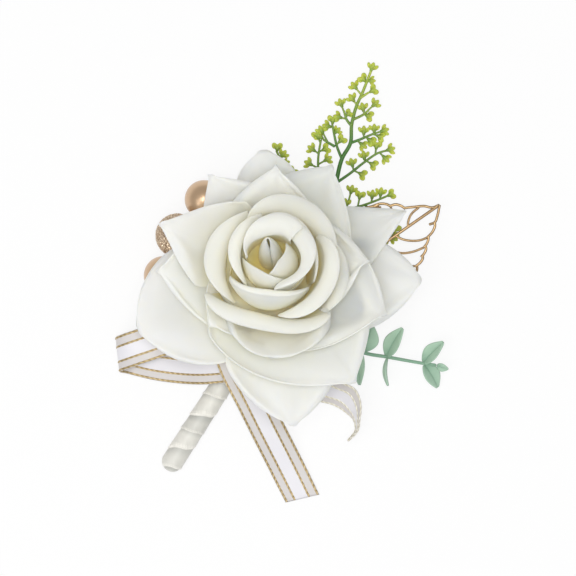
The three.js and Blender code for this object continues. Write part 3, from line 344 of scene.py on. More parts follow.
def sparkle_group():
    """Flecks of glitter: each cell of a Voronoi pattern has a normal turned its own way and its own tone."""
    group, given, out = new_group(
        "Sparkle",
        {"Flecks": 3000.0, "Turn": 0.8},
        {"Fleck": number_socket, "Normal": vector_socket},
    )
    place = add(group, "ShaderNodeTexCoord")
    cells = add(group, "ShaderNodeTexVoronoi")
    centred = add(group, "ShaderNodeVectorMath", {1: (0.5, 0.5, 0.5)}, operation="SUBTRACT")
    turned = add(group, "ShaderNodeVectorMath", operation="SCALE")
    surface = add(group, "ShaderNodeNewGeometry")
    total = add(group, "ShaderNodeVectorMath", operation="ADD")
    even = add(group, "ShaderNodeVectorMath", operation="NORMALIZE")
    parts = add(group, "ShaderNodeSeparateColor")
    join(
        group,
        (place, "Object", cells, "Vector"),
        (given, "Flecks", cells, "Scale"),
        (cells, "Color", centred, 0),
        (centred, 0, turned, 0),
        (given, "Turn", turned, "Scale"),
        (turned, 0, total, 0),
        (surface, "Normal", total, 1),
        (total, 0, even, 0),
        (cells, "Color", parts, "Color"),
        (parts, "Red", out, "Fleck"),
        (even, 0, out, "Normal"),
    )
    return group


fine_grain = fine_grain_group()
two_tones = two_tone_group()
sparkle = sparkle_group()


def finish_nodes(name, low, high, grain, mottle, unevenness, bump, depth, **surface):
    """A material with a two-tone colour and a fine grain in its relief, with its tree, shader and colour.

    surface sets the shader's own sockets."""
    material, tree = new_material(name)
    shader = add(tree, "ShaderNodeBsdfPrincipled", **surface)
    output = add(tree, "ShaderNodeOutputMaterial")
    texture = add(tree, "ShaderNodeGroup", node_tree=fine_grain, Grain=grain, Mottle=mottle)
    colour = add(
        tree, "ShaderNodeGroup", node_tree=two_tones, Low=(*low, 1), High=(*high, 1), Unevenness=unevenness,
    )
    relief = add(tree, "ShaderNodeBump", Strength=bump, Distance=depth * MM)
    join(
        tree,
        (texture, "Patches", colour, "Patches"),
        (texture, "Height", relief, "Height"),
        (colour, "Color", shader, "Base Color"),
        (relief, "Normal", shader, "Normal"),
        (shader, "BSDF", output, "Surface"),
    )
    return material, tree, shader, colour


def finish(*values, **surface):
    return finish_nodes(*values, **surface)[0]


def foam_finish():
    """White at the rim, ivory on the walls and golden deep between the petals, along the tone attribute. The
    ivory and gold are painted warm shade of the hollows.
    """
    rim, deep = (0.905, 0.905, 0.83), (0.95, 0.74, 0.28)
    material, tree, _, colour = finish_nodes(
        "petal foam", rim, deep, 1800, 90, 0.04, 0.12, 0.05,
        Roughness=0.7, Sheen_Weight=0.1, Sheen_Roughness=0.5, Subsurface_Weight=0.8, Subsurface_Scale=0.003,
        Subsurface_Radius=(1.0, 0.9, 0.7), Specular_IOR_Level=0.25,
    )
    tone = add(tree, "ShaderNodeAttribute", attribute_name="tone")
    # The ramp's ivory and gold are painted warm shade, strongest at the petals' feet.
    ramp = add_ramp(tree, rim, deep, (0.25, (0.91, 0.90, 0.77)), (0.55, (0.93, 0.87, 0.60)))
    join(tree, (tone, "Fac", ramp, "Fac"), (ramp, "Color", colour, "Low"), (ramp, "Color", colour, "High"))
    return material


def glitter_finish():
    """Champagne glitter: flecks that each face their own way, from brown to bright gold."""
    material, tree = new_material("champagne glitter")
    shader = add(tree, "ShaderNodeBsdfPrincipled", Metallic=0.85, Roughness=0.32)
    output = add(tree, "ShaderNodeOutputMaterial")
    flecks = add(tree, "ShaderNodeGroup", node_tree=sparkle, Flecks=3400.0, Turn=1.2)
    ramp = add_ramp(tree, (0.44, 0.27, 0.15), (1.0, 0.84, 0.64))
    join(
        tree,
        (flecks, "Fleck", ramp, "Fac"),
        (ramp, "Color", shader, "Base Color"),
        (flecks, "Normal", shader, "Normal"),
        (shader, "BSDF", output, "Surface"),
    )
    return material


foam = foam_finish()
glitter = glitter_finish()
green_plastic = finish(
    "green stem", (0.22, 0.36, 0.09), (0.40, 0.52, 0.18), 900, 150, 0.3, 0.3, 0.1,
    Roughness=0.5, Specular_IOR_Level=0.4,
)
satin = finish(
    "satin tape", (0.50, 0.50, 0.46), (0.90, 0.88, 0.81), 1500, 100, 0.10, 0.3, 0.05,
    Roughness=0.42, Sheen_Weight=0.3, Sheen_Roughness=0.35, Anisotropic=0.5,
)
pearl = finish(
    "champagne pearl", (0.66, 0.46, 0.29), (0.66, 0.46, 0.29), 500, 60, 0.06, 0.05, 0.02,
    Roughness=0.36, Metallic=0.75, Coat_Weight=0.35, Coat_Roughness=0.2,
)
gold = finish(
    "champagne gold", (0.40, 0.27, 0.14), (0.64, 0.47, 0.28), 1200, 200, 0.25, 0.2, 0.03,
    Roughness=0.3, Metallic=1.0,
)
fern_green = finish(
    "fern plastic", (0.06, 0.20, 0.03), (0.55, 0.62, 0.08), 900, 150, 0.25, 0.3, 0.08,
    Roughness=0.42, Subsurface_Weight=0.1, Subsurface_Scale=0.001, Specular_IOR_Level=0.45,
)
bloom_green = finish(
    "eucalyptus plastic", (0.10, 0.25, 0.15), (0.42, 0.60, 0.46), 900, 220, 0.2, 0.3, 0.08,
    Roughness=0.55, Sheen_Weight=0.2, Specular_IOR_Level=0.4,
)

# Ribbon: white satin with four stripes of gold thread, placed by the ribbon's own width (u)
stripe_places = (0.045, 0.28, 0.70, 0.955)
stripe_half = 0.028


def ribbon_finish(name, dark, light):
    """Satin weave with stripes: u across the ribbon says where a stripe lies, and its thread sparkles."""
    material, tree, shader, colour = finish_nodes(
        name, (0.80, 0.79, 0.83), (0.66, 0.63, 0.62), 1500, 100, 0.05, 0.2, 0.03,
        Sheen_Weight=0.2, Sheen_Roughness=0.3,
    )
    place = add(tree, "ShaderNodeUVMap", uv_map="UVMap")
    parts = add(tree, "ShaderNodeSeparateXYZ")
    join(tree, (place, "UV", parts, 0))
    stripes = None
    for spot in stripe_places:
        stripe = add(tree, "ShaderNodeMath", {1: spot, 2: stripe_half}, operation="COMPARE")
        join(tree, (parts, "X", stripe, 0))
        if stripes is None:
            stripes = stripe
            continue
        total = add(tree, "ShaderNodeMath", operation="MAXIMUM")
        join(tree, (stripes, 0, total, 0), (stripe, 0, total, 1))
        stripes = total
    flecks = add(tree, "ShaderNodeGroup", node_tree=sparkle, Flecks=3200.0, Turn=0.7)
    ramp = add_ramp(tree, dark, light)
    blend = add(tree, "ShaderNodeMix", data_type="RGBA")
    rough = add(tree, "ShaderNodeMix", {2: 0.45, 3: 0.35})
    metal = add(tree, "ShaderNodeMath", {1: 0.8}, operation="MULTIPLY")
    join(
        tree,
        (flecks, "Fleck", ramp, "Fac"),
        (stripes, 0, blend, "Factor"),
        (colour, "Color", blend, 6),
        (ramp, "Color", blend, 7),
        (stripes, 0, rough, "Factor"),
        (stripes, 0, metal, 0),
        (blend, 2, shader, "Base Color"),
        (rough, 0, shader, "Roughness"),
        (metal, 0, shader, "Metallic"),
    )
    return material


gold_dark, gold_light = (0.30, 0.21, 0.09), (0.62, 0.49, 0.27)
pale_dark, pale_light = (0.66, 0.62, 0.48), (0.88, 0.85, 0.74)
striped = ribbon_finish("striped ribbon", gold_dark, gold_light)
striped_back = ribbon_finish("striped ribbon back", pale_dark, pale_light)
gold_thread = finish(
    "gold thread", gold_dark, gold_light, 2500, 900, 0.5, 0.3, 0.03, Roughness=0.4, Metallic=0.6,
)
pale_thread = finish(
    "pale thread", pale_dark, pale_light, 2500, 900, 0.3, 0.3, 0.03, Roughness=0.5, Metallic=0.2,
)

# Rose head: where it sits, and the seats of its petals, each whorl's further out and lower than the last
head_radius = 42
head_height = 35
head_tilt = 10 * degree
head_place = np.array([2.3, 12.2, 11.5])
petal_thickness = 0.5
seat_radius = 1.5
seat_step = 0.9
seat_height = 3.5
seat_drop = 0.7
seat_width_share = 0.86

# Each whorl of the closed heart: radius and height of its petals' feet, as shares of the head's
foot_shares = {
    "centre": (0.076, 0.29),
    "bud": (0.133, 0.26),
    "heart": (0.2, 0.23),
    "inner": (0.267, 0.2),
    "cup": (0.345, 0.18),
}
# Each open whorl: the radii and heights of its profile, as shares of the head's
profile_shares = {
    "middle": ((0.405, 0.476, 0.714), (0.1, 0.357, 0.53)),
    "outer": ((0.452, 0.62, 0.881), (0.034, 0.257, 0.343)),
    "guard": ((0.5, 0.738, 1), (-0.029, 0.129, 0.143)),
}
whorls = [*foot_shares, *profile_shares]

# Each closed petal: the directions of its two margins; whether each margin's foot lies outside (+) or
# inside (-); the height of its wall and how far its margins drop; then at five places from margin to margin
# the radius of its shoulder, that of its throat, where the wall ends, and the width of its lip. Radii are
# shares of the heart's radius.
heart_radius = head_radius / 2
closed_petals = {
    "centre_petal_left": (-74, 300, 1, -1, 0.89, 0.2,
        (0.265, 0.24, 0.23, 0.215, 0.19), (0.04, 0.02, 0.012, 0.012, 0.012), None),
    "centre_petal_right": (-102, 48, 1, -1, 0.86, 0.1,
        (0.41, 0.5, 0.6, 0.57, 0.37), (0.21, 0.12, 0.1, 0.15, 0.27), None),
    "bud_petal_left": (172, 314, 1, -1, 0.81, 0.2,
        (0.46, 0.52, 0.57, 0.52, 0.44), (0.4, 0.26, 0.22, 0.26, 0.34), None),
    "bud_petal_right": (-86, 60, 1, 1, 0.77, 0.12,
        (0.6, 0.54, 0.51, 0.48, 0.49), (0.41, 0.37, 0.4, 0.38, 0.43), (0.02, 0.1, 0.15, 0.22, 0.08)),
    "bud_petal_top": (42, 178, -1, -1, 0.82, 0.05,
        (0.38, 0.39, 0.4, 0.4, 0.39), (0.32, 0.32, 0.3, 0.34, 0.32), (0.23, 0.25, 0.21, 0.1, 0.02)),
    "heart_petal_front": (198, 326, 1, -1, 0.7, 0.2,
        (0.67, 0.79, 0.86, 0.79, 0.66), (0.58, 0.49, 0.43, 0.48, 0.58), (0.01, 0.06, 0.06, 0.06, 0.01)),
    "heart_petal_right": (-26, 110, 1, -1, 0.7, 0.2,
        (0.6, 0.58, 0.57, 0.57, 0.53), (0.6, 0.57, 0.56, 0.58, 0.53), (0.02, 0.04, 0.07, 0.07, 0.02)),
    "heart_petal_top": (102, 228, 1, -1, 0.69, 0.2,
        (0.65, 0.55, 0.52, 0.51, 0.53), (0.64, 0.49, 0.44, 0.43, 0.47), (0.03, 0.14, 0.16, 0.1, 0.01)),
    "inner_petal_left": (136, 194, 1, -1, 0.43, 0.2,
        (0.57, 0.52, 0.51, 0.52, 0.57), (0.59, 0.54, 0.52, 0.54, 0.58), None),
    "inner_petal_bottom": (222, 275, 1, -1, 0.33, 0.2,
        (0.57, 0.59, 0.6, 0.6, 0.59), (0.57, 0.6, 0.61, 0.61, 0.6), None),
    "inner_petal_right": (-84, 32, 1, -1, 0.6, 0.2,
        (0.66, 0.65, 0.66, 0.68, 0.68), (0.68, 0.67, 0.68, 0.7, 0.68), (0.02, 0.2, 0.22, 0.19, 0.05)),
    "inner_petal_top": (40, 130, 1, -1, 0.43, 0.2,
        (0.62, 0.63, 0.64, 0.64, 0.64), (0.63, 0.64, 0.65, 0.64, 0.64), None),
    "cup_petal_left": (114, 226, 1, -1, 0.44, 0.15,
        (0.75, 0.63, 0.6, 0.64, 0.69), (0.76, 0.65, 0.63, 0.65, 0.68), (0.05, 0.21, 0.28, 0.2, 0.03)),
    "cup_petal_bottom": (203, 319, 1, -1, 0.44, 0.1,
        (0.88, 0.76, 0.72, 0.79, 0.91), (0.91, 0.73, 0.68, 0.78, 0.94), (0.06, 0.24, 0.23, 0.22, 0.09)),
    "cup_petal_right": (322, 380, 1, 1, 0.36, 0.02,
        (0.82, 0.82, 0.82, 0.81, 0.8), (0.88, 0.86, 0.85, 0.84, 0.83), (0.08, 0.16, 0.18, 0.15, 0.08)),
    "cup_petal_top": (16, 119, -1, -1, 0.46, 0.15,
        (0.75, 0.71, 0.7, 0.7, 0.7), (0.77, 0.72, 0.71, 0.7, 0.69), (0.13, 0.24, 0.26, 0.2, 0.02)),
}
centre_lean = np.array([-1.3, 4.7, 0.0])
closed_margin_lift = 0.75
wall_share = 0.66
shoulder_share = 0.72
lip_end = 118 * degree

# Each open petal: direction of its tip, reach, half width, bluntness, lip, then raise and roll where they
# differ from 0 and 1
open_petals = {
    "middle_petal_right": (2, 0.82, 0.345, 0, 0.8),
    "middle_petal_top": (87, 0.88, 0.325, 0, 0.8),
    "middle_petal_left": (160, 1.06, 0.372, 0, 0.8, 0, 0.8),
    "middle_petal_left_lower": (222, 0.7, 0.222, 0.6, 0.8, 0, 0.5),
    "middle_petal_bottom": (275, 0.8, 0.325, 0.95, 0.3),
    "outer_petal_top": (60, 0.86, 0.385, 0, 0.8),
    "outer_petal_left_upper": (123, 0.8, 0.379, 0, 0.8, 0, 0.6),
    "outer_petal_left": (180, 0.79, 0.392, 0, 0.8, 0, 0.8),
    "outer_petal_bottom": (305, 1.04, 0.536, 0.1, 0.8, -0.4, 0.7),
    "outer_petal_right": (337, 0.88, 0.399, 0.15, 0.8, 1.4, 0.6),
    "guard_petal_right": (357, 0.96, 0.325, 0.4, 0.8),
    "guard_petal_right_upper": (25, 0.95, 0.325, 0, 0.8),
    "guard_petal_top": (94, 0.755, 0.235, 0.7, 0.8, 0, 0.4),
    "guard_petal_left_lower": (203, 0.93, 0.385, 0.55, 0.8),
    "guard_petal_bottom": (277.5, 1.02, 0.345, 0.3, 0.8),
}
# Petals whose two sides differ: the width of each side as a share of the half width
side_shares = {
    "middle_petal_left": (1.0, 0.6),
    "outer_petal_bottom": (1.5, 0.82),
    "outer_petal_left_upper": (1.0, 0.6),
    "outer_petal_right": (1.35, 1.0),
    "guard_petal_right": (1.0, 0.7),
    "guard_petal_right_upper": (0.5, 0.45),
    "guard_petal_top": (1.0, 0.8),
}
widest_share = 0.58
margin_share = 0.72
margin_roll_radius = 2.0
margin_roll_length = 3.0
margin_roll_seat_share = 0.4
least_seat_half = 0.4
tip_lip_share = 0.97
tip_lip_turn = 100 * degree
tip_lip_radius = 1.3
open_margin_lift = 1.1
vein_fold = 0.45
crease_height = 0.4
crease_phase = 1.9
wave_share = 0.035

# The direction of each petal's tip. Closed petals point to the middle between their margins.
tips = {name: (start + end) / 2 for name, (start, end, *_) in closed_petals.items()}
tips.update({name: tip for name, (tip, *_) in open_petals.items()})


def near(angle, other):
    """angle plus or minus whole turns, so that it lies within half a turn of other."""
    return other + (angle - other + 180) % 360 - 180


def seat_of(name):
    """A petal's seat: its radius, its height, how far apart the whorl's seats are, its direction, and the
    direction of the petal's tip beside it. The seats are evenly spaced and turned to fit the whorl's tips."""
    whorl = name.split("_")[0]
    level = whorls.index(whorl)
    mates = [mate for mate in tips if mate.startswith(whorl)]
    spacing = 360 / len(mates)
    seats = [near(tips[mate] - spacing * turn, tips[mates[0]]) for turn, mate in enumerate(mates)]
    direction = np.mean(seats) + spacing * mates.index(name)
    radius = seat_radius + level * seat_step
    height = seat_height - level * seat_drop
    return radius, height, spacing, direction, near(tips[name], direction)


def bezier(values, s):
    r = 1 - s
    return r**3 * values[0] + 3 * r * r * s * values[1] + 3 * r * s * s * values[2] + s**3 * values[3]


def bezier_slope(values, s):
    r = 1 - s
    first, second, third = np.diff(values)
    return 3 * r * r * first + 6 * r * s * second + 3 * s * s * third


def through(values, u):
    """The smooth curve that passes five evenly spaced values as u runs from -1 to 1."""
    places = np.linspace(-1, 1, len(values))
    total = 0
    for value, place in zip(values, places):
        others = places[places != place]
        total = total + value * np.prod([(u - other) / (place - other) for other in others], axis=0)
    return total


def closed_petal(name, u, v):
    """The middle of a petal of the closed heart, for u from margin to margin and v from seat to outer edge.

    A Bezier profile swells to the shoulder and ends at the throat. From there the lip rolls outward as an arc
    that starts along the wall. The wall winds in along the petal, as a spiral does."""
    start, end, start_side, end_side, height_share, drop, shoulders, throats, lips = closed_petals[name]
    seat, seat_top, spacing, seat_angle, tip_angle = seat_of(name)
    foot_radius, foot_height = foot_shares[name.split("_")[0]]
    height = height_share * head_height
    lip_from = wall_share if lips else 1.0
    wall = np.minimum(v / lip_from, 1)
    throat = through(throats, u) * heart_radius
    shoulder = through(shoulders, u) * heart_radius
    top = height * (1 - drop * np.abs(u) ** 4)
    foot = foot_radius * head_radius + closed_margin_lift * mix(start_side, end_side, (u + 1) / 2)
    radius = bezier([seat, foot, shoulder, throat], wall)
    rise = bezier([seat_top, foot_height * head_height, shoulder_share * top, top], wall)
    if lips:
        lip_width = np.maximum(through(lips, u) * heart_radius, 0.2)
        lean = np.arctan2(throat - shoulder, (1 - shoulder_share) * top)
        curl = max(lips) * heart_radius / (1 - np.cos(lip_end))
        last = np.arccos(np.clip(np.cos(lean) - lip_width / curl, -1, 1))
        turn = lean + np.clip((v - lip_from) / (1 - lip_from), 0, 1) * (last - lean)
        radius = radius + curl * (np.cos(lean) - np.cos(turn))
        rise = rise + curl * (np.sin(turn) - np.sin(lean))
    reach = mix(spacing / 2 * seat_width_share, (end - start) / 2, smooth(0.05, 0.6, wall))
    angle = (mix(seat_angle, tip_angle, smooth(0, 0.6, wall)) + reach * u) * degree
    points = about_axis(radius, angle, rise)
    if name == "centre_petal_left":
        points = points + centre_lean * (np.clip(rise / height, 0, 1) ** 2)[..., None]
    return points


def open_petal(name, u, v):
    """The middle of an open petal, for u from margin to margin and v from seat to tip.

    The whorl is a surface of revolution with a Bezier profile. The petal is wrapped on it, as wide as a
    rising and then narrowing curve allows. Its margins lie over one neighbour and under the other, and roll
    back as an arc does; its tip rolls over as a second arc. Two crossed waves crease it softly."""
    _, reach, width, blunt, lip_share, *rest = open_petals[name]
    raise_share, roll_share = rest or (0, 1)
    seat, seat_top, spacing, seat_angle, tip_angle = seat_of(name)
    radius_shares, height_shares = profile_shares[name.split("_")[0]]
    radii = [seat, *(share * head_radius for share in radius_shares)]
    heights = [seat_top, *(share * head_height for share in height_shares)]
    seat_roll = margin_roll_length * margin_roll_seat_share
    seat_half = max(seat * seat_width_share * spacing / 2 * degree - seat_roll, least_seat_half)

    body = np.minimum(v / tip_lip_share, 1)
    s = reach * body
    if name == "middle_petal_bottom":
        wave = mix(np.cos(2.5 * np.pi * u), 1, smooth(0.85, 0.98, v)) * smooth(0.5, 0.9, v)
        s = s + wave_share * wave * body
    rise = np.minimum(v / widest_share, 1)
    fall = np.clip((v - widest_share) / (1 - widest_share), 0, 1)
    grown = mix(seat_half, width * head_radius, np.sin(rise * np.pi / 2) ** 2)
    narrowed = (1 - fall ** mix(1, 2.6, blunt)) ** mix(1.3, 0.5, blunt)
    left, right = side_shares.get(name, (1.0, 1.0))
    half = grown * mix(0.02, 1, narrowed) * mix(1, np.where(u < 0, left, right), smooth(0, 0.5, v))

    across = np.minimum(np.abs(u) / margin_share, 1) * half
    rolled = np.maximum((np.abs(u) - margin_share) / (1 - margin_share), 0) * margin_roll_length
    rolled = rolled * mix(margin_roll_seat_share, 1, smooth(0, 0.5, v))
    rolled = rolled * (1 - 0.4 * fall) * (1 - fall**6) * roll_share
    bend = smooth(0.5, 0.9, v) * roll_share / margin_roll_radius + 1e-4
    sideways = across + np.sin(rolled * bend) / bend
    margin_drop = (1 - np.cos(rolled * bend)) / bend
    lip = np.maximum((v - tip_lip_share) / (1 - tip_lip_share), 0) * tip_lip_turn
    outward = tip_lip_radius * lip_share * np.sin(lip)
    lip_drop = tip_lip_radius * lip_share * (1 - np.cos(lip))

    held = open_margin_lift * smooth(0.04, 0.36, v)
    over = -held * u * (1 - blunt * smooth(0.85, 1, v))
    raised = held * raise_share * (1 - u) * 0.5
    vein = vein_fold * hill(u, 0, 0.4) * smooth(0.3, 0.6, v) * (1 - smooth(0.6, 0.9, v))
    phase = crease_phase * list(tips).index(name)
    creases = np.sin(7.5 * u + 2.2 * v + phase) + 0.6 * np.sin(12 * u * v + 1.7 * phase)
    creases = crease_height * creases * smooth(0.3, 0.65, v) * (1 - smooth(0.7, 0.98, v))
    lift = over + raised - margin_drop - lip_drop - vein + creases

    slope_r = bezier_slope(radii, s)
    slope_z = bezier_slope(heights, s)
    slope = np.hypot(slope_r, slope_z)
    middle_radius = bezier(radii, s) + outward * slope_r / slope
    radius = middle_radius - lift * slope_z / slope
    height = bezier(heights, s) + outward * slope_z / slope + lift * slope_r / slope
    middle = mix(seat_angle, tip_angle, smooth(0, 0.55, v)) * degree
    angle = middle + np.sign(u) * sideways / np.maximum(middle_radius, seat_radius)
    return about_axis(radius, angle, height)


def in_head(points):
    """Points of the head's own frame, tilted and set in place."""
    c, s = np.cos(-head_tilt), np.sin(-head_tilt)
    x, y, z = points[..., 0], points[..., 1], points[..., 2]
    return np.stack([x, c * y - s * z, s * y + c * z], -1) + head_place


def closed_shade_tone(name, v):
    """Painted warm shade: golden at the foot and pale at the rim. Inner petals without a lip lie deep in
    shade and have no pale rim, and the centre petals are a little paler."""
    lipped = closed_petals[name][-1] is not None
    wall = np.minimum(v / wall_share, 1) if lipped else v
    tone = mix(1, 0.1, smooth(0.4, 1.15, wall))
    if name.startswith("inner") and not lipped:
        tone = mix(0.6, 1, tone)
    return 0.85 * tone if name.startswith("centre") else tone


def open_shade_tone(name, v):
    """Painted warm shade: golden at the foot and pale from there outward, a little less golden in each whorl
    further out.
    """
    outward = list(profile_shares).index(name.split("_")[0])
    return (0.8 - 0.1 * outward) * (1 - smooth(0.1, 0.75, v))


def add_petals(names, surface, tone, slot):
    """Each petal's middle surface on a fine grid, closer at its edges, made a thin shell."""
    across = np.linspace(-1, 1, 49)
    across = np.sign(across) * (1 - (1 - np.abs(across)) ** 1.3)
    along = 1 - (1 - np.linspace(0, 1, 57)) ** 1.25
    u, v = np.meshgrid(across, along)
    thickness = petal_thickness * rounded(u, 14) * rounded(v * 2 - 1, 30)
    for name in names:
        skin = shell(in_head(surface(name, u, v)), thickness, (u + 1) / 2, v, tone(name, v))
        add_piece(f"{name}_foam", [skin], foam, slot, name)


add_petals(closed_petals, closed_petal, closed_shade_tone, "heart_petals")
add_petals(open_petals, open_petal, open_shade_tone, "outer_petals")


# Beds between the petals: radius of the rim, height of the middle, rise towards the rim, tone of the middle
# (painted warm shade)
bed_depth = 3
bed_fold = 0.7
beds = {
    "heart_bed_foam": (10, 17.5, 5, 1),
    "cup_bed_foam": (16.5, 11.5, 2.6, 0.85),
}


def add_bed(name, rim, height, slope, deep):
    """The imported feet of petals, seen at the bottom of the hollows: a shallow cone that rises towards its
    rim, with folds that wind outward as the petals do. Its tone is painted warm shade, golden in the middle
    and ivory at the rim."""
    angle = full_turn(180)
    share = np.linspace(0, 1, 40)[:, None]
    folds = bed_fold * np.sin(5 * angle + 9 * share) * share
    top = height + slope * share**2 + folds
    under = top - bed_depth * (1 - share)
    upper = about_axis(rim * share, angle, top)
    lower = about_axis(rim * share, angle, under)
    rows = np.concatenate([upper, lower[::-1]])
    # Painted warm shade: golden in the middle of the hollow, paler towards the rim.
    tone = deep * mix(1, 0.55, np.concatenate([share, share[::-1]]) ** 3)
    add_piece(name, [Grid(in_head(rows), closed=True, tone=tone)], foam, "heart_petals")


for name, bed in beds.items():
    add_bed(name, *bed)

# Core and calyx of the rose
calyx_radius = 8.2
calyx_depth = 7
calyx_neck = 2.2
calyx_widest_height = -2.7
calyx_rim_radius = 7.8
calyx_rim_height = -2.2
calyx_crown_height = 2.7
core_radius = 0.9
core_height = 21
core_foot_depth = 0.1
stem_radius = 0.7
stem_straight = 1.6


def add_revolved(name, profile, sides, ridge=0.0):
    """A profile of (radius, height), from its foot up, turned about the head's axis. Its radius swells with
    five low ridges."""
    angle = full_turn(sides)
    profile = run([(radius, 0, height) for radius, height in profile], 40)
    rows = about_axis(profile[:, :1] * (1 + ridge * np.cos(5 * angle)), angle, profile[:, 2:])
    add_piece(f"{name}_fine", [Grid(in_head(rows), closed=True)], green_plastic, "green_stem", name)


core_profile = [
    (0, seat_height - core_foot_depth), (core_radius, seat_height), (core_radius, core_height * 0.7),
    (core_radius * 0.6, core_height * 0.93), (0, core_height),
]
calyx_profile = [
    (0, -calyx_depth), (calyx_neck, -calyx_depth), (calyx_neck, -0.75 * calyx_depth),
    (calyx_radius * 0.7, -0.6 * calyx_depth), (calyx_radius, calyx_widest_height),
    (calyx_rim_radius, calyx_rim_height), (0, calyx_crown_height),
]
add_revolved("rose_core", core_profile, 20)
add_revolved("rose_calyx", calyx_profile, 60, 0.03)

# Handle
handle_radius = 3.1
handle_length = 53.2
handle_mouth = 2.5
handle_angle = 57.3 * degree
handle_flat = 0.5
tape_pitch = 5.7
tape_step = 0.18
tape_edge_waver = 0.02
tape_pitch_waver = 0.13
tape_pucker = 0.05
stitch_count = 26
stitch_height = 0.12
bundle_radius = 1.6
bore_radius = 2.5
bore_depth = 10
bore_floor = 0.35
clearance = 0.3
axis_height = handle_radius - handle_flat
knot_place = -13
knot_length = 8.5
knot_thickness = 0.6
knot_pleat = 0.10
handle_run = np.array([np.cos(handle_angle), np.sin(handle_angle), 0])
handle_left = np.array([-np.sin(handle_angle), np.cos(handle_angle), 0])


def in_handle(distance, left, above):
    """A place given by its distance along the handle's axis, to the left of it and above it."""
    distance, left, above = (np.asarray(value, float)[..., None] for value in (distance, left, above))
    return distance * handle_run + left * handle_left + (axis_height + above) * np.array([0, 0, 1])


def add_stem_wrap():
    """Satin tape wound round the bundle: a tube whose radius rises steadily over each turn of the helix and
    drops at the tape's edge, where two rows of stitches run. It has a rounded folded end, a flat back, a seat
    for the knot's band and a blind bore."""
    end = handle_mouth - handle_length
    angle = full_turn(160)
    d, a = np.meshgrid(np.linspace(end, handle_mouth, 560), angle, indexing="ij")
    turn = (d - end) / tape_pitch - a / (2 * np.pi)
    turn = turn + tape_edge_waver * np.sin(3 * a + 0.4 * d) + tape_pitch_waver * np.sin(0.5 * d)
    part = turn - np.floor(turn)
    stitches = 0.5 + 0.5 * np.sin(stitch_count * a)
    rows = hill(part, 0.08, 0.04) * stitches + 0.6 * hill(part, 0.17, 0.03) * (1 - stitches)
    step = tape_step * (smooth(0, 0.07, part) * (1 - part) + part * 0.25)
    closing = rounded(np.clip((end + handle_radius - d) / handle_radius, 0, 1), 2)
    pucker = tape_pucker * np.sin(7 * a + 1.3 * d) * (1 - smooth(0.1, 0.8, part))
    radius = (handle_radius - tape_step * 0.4 + step + pucker + stitch_height * rows) * closing
    points = in_handle(d, radius * np.cos(a), radius * np.sin(a))
    seat = np.abs(d - knot_place) < knot_length / 2 + clearance
    points[..., 2] = np.maximum(points[..., 2], np.where(seat, knot_thickness + clearance, 0))
    bore_end = handle_mouth - bore_depth
    bore = np.array([[handle_mouth, bore_radius], [bore_end, bore_radius], [bore_end, 0]])
    inner = in_handle(bore[:, :1] + 0 * angle, bore[:, 1:] * np.cos(angle), bore[:, 1:] * np.sin(angle))
    inner[..., 2] = np.maximum(inner[..., 2], bore_floor)
    whole = np.concatenate([points, inner])
    # Tone: the stitch rows are the tape's own white thread and the band along the stitched edge is paler; the
    # darkening just before the next turn's edge is painted shadow of that overlapping edge, and the change
    # from turn to turn is painted sheen.
    shade = 0.55 + 0.45 * rows + 0.2 * (1 - smooth(0.05, 0.2, part)) - 0.4 * smooth(0.62, 1, part)
    shade = shade + 0.16 * np.sin(2.4 * np.floor(turn))
    tones = np.concatenate([np.clip(shade, 0, 1), np.zeros((3, len(angle)))])
    corner_u = np.concatenate([part, part[:, :1]], axis=1)
    corner_u = np.concatenate([corner_u, np.full((3, len(angle) + 1), 0.5)])
    wrap = Grid(whole[:, ::-1], closed=True, u=corner_u[:, ::-1], tone=tones[:, ::-1])
    add_piece("stem_wrap_fine", [wrap], satin, "satin_wrap", "stem_wrap")


add_stem_wrap()


def bundled(turn):
    """The three first places of a stem that lies in the bundle, in its own slot round the middle one."""
    left = bundle_radius * np.cos(turn * degree)
    above = bundle_radius * np.sin(turn * degree)
    foot = handle_mouth - bore_depth
    stops = (foot + 2 * clearance, foot + bore_depth / 2, handle_mouth + clearance)
    return [in_handle(stop, left, above) for stop in stops]


calyx_below = in_head(np.array([0, 0, -calyx_depth - stem_straight]))
mouth = in_handle(handle_mouth, 0, 0)
stem_points = [
    in_handle(handle_mouth - bore_depth + 2 * clearance, 0, 0),
    in_handle(handle_mouth - bore_depth / 2, 0, 0),
    mouth,
    [mix(mouth[0], calyx_below[0], 0.75), mix(mouth[1], calyx_below[1], 0.72), axis_height + 0.2],
    calyx_below,
    in_head(np.array([0, 0, -calyx_depth - clearance])),
]
add_rod("rose_stem", stem_points, stem_radius, 16, green_plastic, "green_stem", up=handle_left)

# Beads and berry on their wires: each one's centre and radius, the direction of its wire's slot in the
# bundle, and the wire's bends
bead_radius = 5.46
berry_radius = 6.3
berry_grain = 0.16
wire_radius = 0.4
wire_sides = 10
balls = {
    "pearl_bead_lower": ([-28.4, 12.2, bead_radius], bead_radius, 0, [[-1.5, 6.2, 2.6], [-10, 9.8, 2.8]]),
    "glitter_berry": ([-24.4, 23.5, berry_radius], berry_radius, 60, [[0.2, 7.4, 4], [-8, 13.4, 4]]),
    "pearl_bead_upper": ([-16.9, 33.6, bead_radius], bead_radius, 300, [[0.2, 9, 1.2], [-5, 17.5, 1.6]]),
}


def ball(radius, grain):
    """A sphere from two angles. A berry's skin is uneven: two sets of three crossed waves of small height."""
    high, turn = np.meshgrid(np.linspace(0, np.pi, 97), full_turn(192), indexing="ij")
    direction = about_axis(np.sin(high), turn, -np.cos(high))
    waves = np.sin(direction * radius * 9.0 + np.array([0.0, 1.0, 2.0])).prod(-1)
    waves += 0.6 * np.sin(direction[..., [1, 2, 0]] * radius * 15.0 + np.array([2.0, 0.0, 1.0])).prod(-1)
    return direction * (radius - grain + grain * waves)[..., None]


